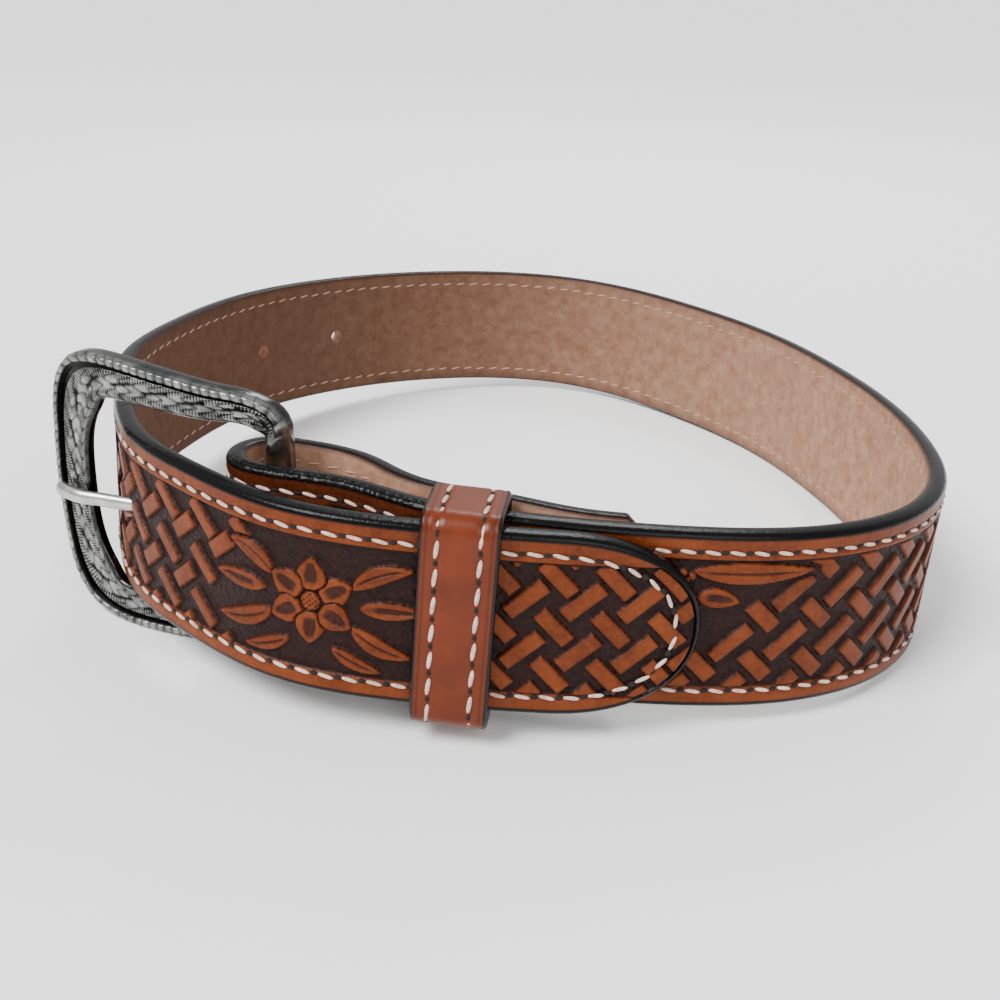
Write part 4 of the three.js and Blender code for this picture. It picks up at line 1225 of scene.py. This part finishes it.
class Nodes:
    """A short way to write a node material."""

    def __init__(self, name: str) -> None:
        self.material = bpy.data.materials.new(name)
        self.material.use_nodes = True
        self.tree = self.material.node_tree
        self.tree.nodes.clear()
        output = self.tree.nodes.new("ShaderNodeOutputMaterial")
        self.shader = self.tree.nodes.new("ShaderNodeBsdfPrincipled")
        self.tree.links.new(self.shader.outputs[0], output.inputs[0])

    def add(self, kind: str, inputs: Optional[dict] = None, **settings) -> bpy.types.Node:
        """Adds a node, sets its properties, and links or sets its inputs.

        Args:
            kind: the node's type, without the leading ShaderNode.
            inputs: for each socket's name or number, a socket to link or a value to set.
            settings: the node's own properties.

        Returns:
            The new node.
        """
        node = self.tree.nodes.new("ShaderNode" + kind)
        for key, value in settings.items():
            setattr(node, key, value)
        for key, value in (inputs or {}).items():
            self.feed(node.inputs[key], value)
        return node

    def feed(self, socket: bpy.types.NodeSocket, value) -> None:
        """Links a socket, or sets its value."""
        if isinstance(value, bpy.types.NodeSocket):
            self.tree.links.new(value, socket)
        else:
            socket.default_value = value

    def mix(self, factor, first, second) -> bpy.types.NodeSocket:
        """Mixes two colours."""
        node = self.add("Mix", data_type="RGBA")
        self.feed(node.inputs[0], factor)
        self.feed(node.inputs[6], first)
        self.feed(node.inputs[7], second)
        return node.outputs[2]

    def blend(self, factor, first, second) -> bpy.types.NodeSocket:
        """Mixes two numbers."""
        return self.add("Mix", {0: factor, 2: first, 3: second}, data_type="FLOAT").outputs[0]

    def paint(self) -> tuple[bpy.types.NodeSocket, ...]:
        """The four shares painted on the mesh."""
        layer = self.add("Attribute", attribute_name="paint")
        parts = self.add("SeparateColor", {0: layer.outputs["Color"]})
        return parts.outputs[0], parts.outputs[1], parts.outputs[2], layer.outputs["Alpha"]

    def noise(self, size_mm: float, detail: float = 3.0, rough: float = 0.55) -> bpy.types.NodeSocket:
        """Noise whose blotches are about size_mm across."""
        place = self.add("TexCoord").outputs["Object"]
        return self.add("TexNoise", {"Vector": place, "Scale": 1 / (size_mm * MM), "Detail": detail,
                                     "Roughness": rough}).outputs[0]

    def band(self, value, low: float, high: float) -> bpy.types.NodeSocket:
        """Stretches a value so that low is 0 and high is 1."""
        return self.add("MapRange", {0: value, 1: low, 2: high}).outputs[0]

    def bump(self, height, distance_mm: float, strength: float, normal=None) -> bpy.types.NodeSocket:
        """A bump of real depth."""
        inputs = {"Height": height, "Distance": distance_mm * MM, "Strength": strength}
        if normal is not None:
            inputs["Normal"] = normal
        return self.add("Bump", inputs).outputs[0]

    def finish(self, **sockets) -> bpy.types.Material:
        """Sets the shader's sockets, written with underscores for spaces."""
        for key, value in sockets.items():
            self.feed(self.shader.inputs[key.replace("_", " ")], value)
        return self.material


def tooled_leather() -> bpy.types.Material:
    """Raised orange-brown tooling on a ground of dark dye, black painted edges, and a bare flesh side.
    Painted shade darkens the face near the fold, the bars' edges and the flesh side towards the tip.
    """
    n = Nodes("tooled_leather")
    # the first share is dye plus painted shade near the fold and on the bars' edges; the last is painted
    # shade on the flesh side
    dye_and_shade, edge, flesh, flesh_shade = n.paint()
    mottle = n.band(n.noise(7.0, 4.0), 0.35, 0.68)
    speck = n.band(n.noise(0.9, 4.0, 0.65), 0.4, 0.68)
    raised = n.mix(mottle, Tone.RAISED_DARK.linear(), Tone.RAISED.linear())
    raised = n.mix(n.blend(0.35, 0.0, speck), raised, Tone.RAISED_LIGHT.linear())
    ground = n.mix(n.blend(0.5, 0.0, speck), Tone.GROUND.linear(), Tone.GROUND_LIGHT.linear())
    colour = n.mix(dye_and_shade, raised, ground)
    suede = n.band(n.noise(3.0, 6.0, 0.7), 0.34, 0.68)
    bare = n.mix(suede, Tone.FLESH.linear(), Tone.FLESH_LIGHT.linear())
    # painted shade: the flesh side darkens towards the tip
    bare = n.mix(n.blend(flesh_shade, 0.0, 0.8), bare, Tone.FLESH_SHADED.linear())
    colour = n.mix(flesh, colour, bare)
    colour = n.mix(edge, colour, Tone.EDGE.linear())
    grain = n.noise(0.35, 3.0)
    pores = n.noise(0.8, 2.0)
    rough = n.blend(dye_and_shade, 0.42, 0.5)
    rough = n.blend(flesh, rough, 0.85)
    rough = n.blend(edge, rough, 0.24)
    normal = n.bump(grain, 0.06, 0.5)
    normal = n.bump(pores, 0.14, 0.45, normal)
    place = n.add("TexCoord").outputs["Object"]
    stipple = n.add("TexVoronoi", {"Vector": place, "Scale": 1 / (0.75 * MM)}).outputs["Distance"]
    normal = n.bump(n.blend(dye_and_shade, 0.0, stipple), 0.25, 0.7, normal)
    return n.finish(Base_Color=colour, Roughness=rough, Normal=normal, Specular_IOR_Level=0.13)


def keeper_leather() -> bpy.types.Material:
    """Smooth oiled leather with black edges and a darker crease along each of them."""
    n = Nodes("keeper_leather")
    _, edge, flesh, crease = n.paint()
    mottle = n.band(n.noise(9.0, 4.0), 0.35, 0.68)
    colour = n.mix(mottle, Tone.KEEPER.linear(), Tone.KEEPER_LIGHT.linear())
    colour = n.mix(n.blend(0.5, 0.0, crease), colour, Tone.KEEPER_DARK.linear())
    colour = n.mix(flesh, colour, Tone.FLESH.linear())
    colour = n.mix(edge, colour, Tone.EDGE.linear())
    normal = n.bump(n.noise(0.5, 3.0), 0.05, 0.5)
    normal = n.bump(n.noise(2.2, 3.0), 0.12, 0.4, normal)
    rough = n.blend(edge, 0.34, 0.26)
    return n.finish(Base_Color=colour, Roughness=rough, Normal=normal, Specular_IOR_Level=0.22)


def thread(name: str, light: Tone, shadow: Tone) -> bpy.types.Material:
    """Waxed thread in two tones."""
    n = Nodes(name)
    shade = n.band(n.noise(1.4, 3.0), 0.3, 0.7)
    colour = n.mix(shade, shadow.linear(), light.linear())
    normal = n.bump(n.noise(0.25, 2.0), 0.08, 0.6)
    return n.finish(Base_Color=colour, Roughness=0.6, Normal=normal)


def slit() -> bpy.types.Material:
    """Painted shade: the dark inside of a stitch hole."""
    n = Nodes("stitch_hole")
    colour = n.mix(n.noise(0.8), Tone.SLIT.linear(), Tone.EDGE.linear())
    return n.finish(Base_Color=colour, Roughness=0.9)


def antiqued_silver() -> bpy.types.Material:
    """Silver plate, bright on its high parts and black in its cuts, with a painted dark reflection on its
    outer wall and painted shade on its inner bevel.
    """
    n = Nodes("antiqued_silver")
    dark, engraved, _, _ = n.paint()
    cloud = n.band(n.noise(3.5, 4.0), 0.35, 0.7)
    silver = n.mix(cloud, Tone.SILVER_SHADE.linear(), Tone.SILVER.linear())
    # dark is patina in the cuts plus painted shade on the outer wall and inner bevel
    colour = n.mix(dark, silver, Tone.TARNISH_AND_SHADE.linear())
    rough = n.blend(engraved, 0.2, n.blend(dark, 0.26, 0.55))
    normal = n.bump(n.noise(0.6, 3.0), 0.04, 0.5)
    return n.finish(Base_Color=colour, Metallic=1.0, Roughness=rough, Normal=normal)


def nickel() -> bpy.types.Material:
    """Bright nickel plate."""
    n = Nodes("nickel")
    colour = n.mix(n.band(n.noise(4.0), 0.4, 0.65), Tone.SILVER.linear(), Tone.NICKEL.linear())
    return n.finish(Base_Color=colour, Metallic=1.0, Roughness=n.band(n.noise(1.5), -1.0, 4.0))


# The studio and the whole belt


class Studio:
    """The floor, lights and camera."""

    def __init__(self, stand: Stand, shot: Shot) -> None:
        self.stand, self.shot = stand, shot

    def camera(self) -> None:
        """The photo's camera, carried with the belt from its flat lay-out."""
        shot = self.shot
        data = bpy.data.cameras.new("photo_camera")
        data.lens, data.sensor_width = shot.lens, shot.sensor
        data.clip_start, data.clip_end = 0.01, 100
        camera = bpy.data.objects.new("photo_camera", data)
        bpy.context.scene.collection.objects.link(camera)
        forward = Vector((0, math.cos(shot.pitch), -math.sin(shot.pitch)))
        down = Vector((0, -math.sin(shot.pitch), -math.cos(shot.pitch)))
        right = Vector((1, 0, 0))
        turned = right * math.cos(shot.roll) - down * math.sin(shot.roll)
        lower = right * math.sin(shot.roll) + down * math.cos(shot.roll)
        axes = Matrix((turned, -lower, -forward)).transposed().to_4x4()
        camera.matrix_world = self.stand.matrix() @ Matrix.Translation(Vector(shot.eye) * MM) @ axes
        bpy.context.scene.camera = camera

    def lamp(self, name: str, place: tuple[float, float, float], size: float, power: float) -> None:
        """A soft square lamp that looks at the belt."""
        data = bpy.data.lights.new(name, "AREA")
        data.shape, data.size, data.energy = "SQUARE", size, power
        light = bpy.data.objects.new(name, data)
        light.location = place
        light.rotation_euler = (Vector((0, -0.02, 0.015)) - Vector(place)).to_track_quat("-Z", "Y").to_euler()
        bpy.context.scene.collection.objects.link(light)

    def sun(self, name: str, place: tuple[float, float, float], power: float) -> None:
        """A soft far lamp that lights the whole floor evenly."""
        data = bpy.data.lights.new(name, "SUN")
        data.energy, data.angle = power, 0.5
        light = bpy.data.objects.new(name, data)
        light.rotation_euler = (-Vector(place)).to_track_quat("-Z", "Y").to_euler()
        bpy.context.scene.collection.objects.link(light)

    def build(self) -> None:
        """Sets up the whole studio."""
        world = bpy.data.worlds.new("studio")
        world.use_nodes = True
        background = world.node_tree.nodes["Background"]
        background.inputs[0].default_value = (1.0, 1.0, 1.0, 1.0)
        background.inputs[1].default_value = 0.8
        bpy.context.scene.world = world
        bpy.ops.mesh.primitive_plane_add(size=60)
        floor = bpy.context.object
        floor.name = "floor"
        n = Nodes("floor")
        floor.data.materials.append(
            n.finish(Base_Color=Tone.FLOOR.linear(), Roughness=0.9, Specular_IOR_Level=0.1))
        floor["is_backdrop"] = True
        self.sun("key", (-0.45, -0.35, 0.75), 4.5)
        self.lamp("fill", (0.25, -0.65, 0.4), 0.4, 2.0)
        self.lamp("back", (0.1, 0.6, 0.7), 0.3, 3.0)
        self.camera()


def dress(made: bpy.types.Object, material: bpy.types.Material, slot: str, *nodes: str) -> None:
    """Gives a piece its material and ties it to the CAD frame.

    Args:
        made: the piece.
        material: what it is made of.
        slot: the record's material slot; not used.
        nodes: the CAD nodes that it stands for.
    """
    made.data.materials.append(material)
    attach(made, "root")
    if nodes:
        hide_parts(*nodes)


def openings(line: StrapLine) -> list[Opening]:
    """The tongue holes, the slot in the fold and the rivets' seats in the tab."""
    strap = line.strap
    made = [Opening(line.total - away, strap.hole_diameter / 2)
            for away in (strap.used_hole_from_tip, *strap.holes_from_tip)]
    reach = (line.fold_end - line.fold_begin) / 2 - strap.slot_half_height
    made.append(Opening((line.fold_begin + line.fold_end) / 2, strap.slot_half_height, reach))
    behind = line.tab_behind(strap.rivet_bearing)
    for side in (-0.5, 0.5):
        made.append(Opening(behind, strap.rivet_seat_radius, above=side * strap.rivet_spacing))
    return made


def stretches(line: StrapLine) -> tuple[Stretch, ...]:
    """The stretches of the strap's skin, finest where the camera sees the tooling."""
    fold, tip = line.fold_end, line.total
    return (
        Stretch("tooled_tab", 0.0, line.fold_begin - 33, 0.4, 60, 40),
        Stretch("tooled_fold", line.fold_begin - 33, fold + 36, 0.3, 60, 48),
        Stretch("tooled_side", fold + 36, fold + 168, 0.24, 112),
        Stretch("tooled_back", fold + 168, tip - 262, 0.5, 60),
        Stretch("tooled_holes", tip - 262, tip - 209, 0.4, 64, 56),
        Stretch("tooled_left", tip - 209, tip - 122, 0.4, 64),
        Stretch("tooled_used_hole", tip - 122, tip - 100, 0.24, 128, 60),
        Stretch("tooled_tip_end", tip - 100, tip, 0.2, 138),
    )


def corners() -> list[list[float]]:
    """The shown object's box, in metres."""
    return [list(corner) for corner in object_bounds()]


def main() -> None:
    """Builds the belt's looks and the studio round it."""
    logging.basicConfig(level=logging.INFO, format="%(name)s: %(message)s")
    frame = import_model()
    line = StrapLine(Strap(), Loop())
    skin = StrapSkin(line, TooledFace(line, Tooling()), openings(line))
    log.info("strap %.2f mm long, fold ends at %.2f mm", line.total, line.fold_end)

    leather, holes = tooled_leather(), slit()
    threads = thread("thread", Tone.THREAD, Tone.THREAD_SHADE)
    back_threads = thread("back_thread", Tone.BACK_THREAD, Tone.FLESH_LIGHT)
    for size in stretches(line):
        dress(skin.stretch(size), leather, "tooled_leather", "strap")
    strap = line.strap
    face_stitches, back_stitches, stitch_holes = skin.stitches(strap.stitch_pitch, strap.stitch_length)
    dress(face_stitches, threads, "tooled_leather")
    dress(back_stitches, back_threads, "tooled_leather")
    dress(stitch_holes, holes, "tooled_leather")

    band, keeper_stitches, keeper_holes = KeeperBand(line, Keeper()).build()
    dress(band, keeper_leather(), "keeper_leather", "keeper")
    dress(keeper_stitches, threads, "keeper_leather")
    dress(keeper_holes, holes, "keeper_leather")

    buckle = Buckle(line, Frame())
    bright = nickel()
    dress(buckle.frame(), antiqued_silver(), "antiqued_silver", "buckle_frame")
    dress(buckle.tongue(), bright, "nickel", "tongue")
    for name in ("tab_rivet_lower", "tab_rivet_upper"):
        node = frame["nodes"][name]
        node.data.materials.clear()
        node.data.materials.append(bright)

    Studio(Stand(), Shot()).build()
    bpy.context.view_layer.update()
    for made in bpy.context.scene.objects:
        if made.type == "MESH":
            log.info("%s: %d triangles", made.name, sum(len(p.vertices) - 2 for p in made.data.polygons))


if __name__ == "__main__":
    main()
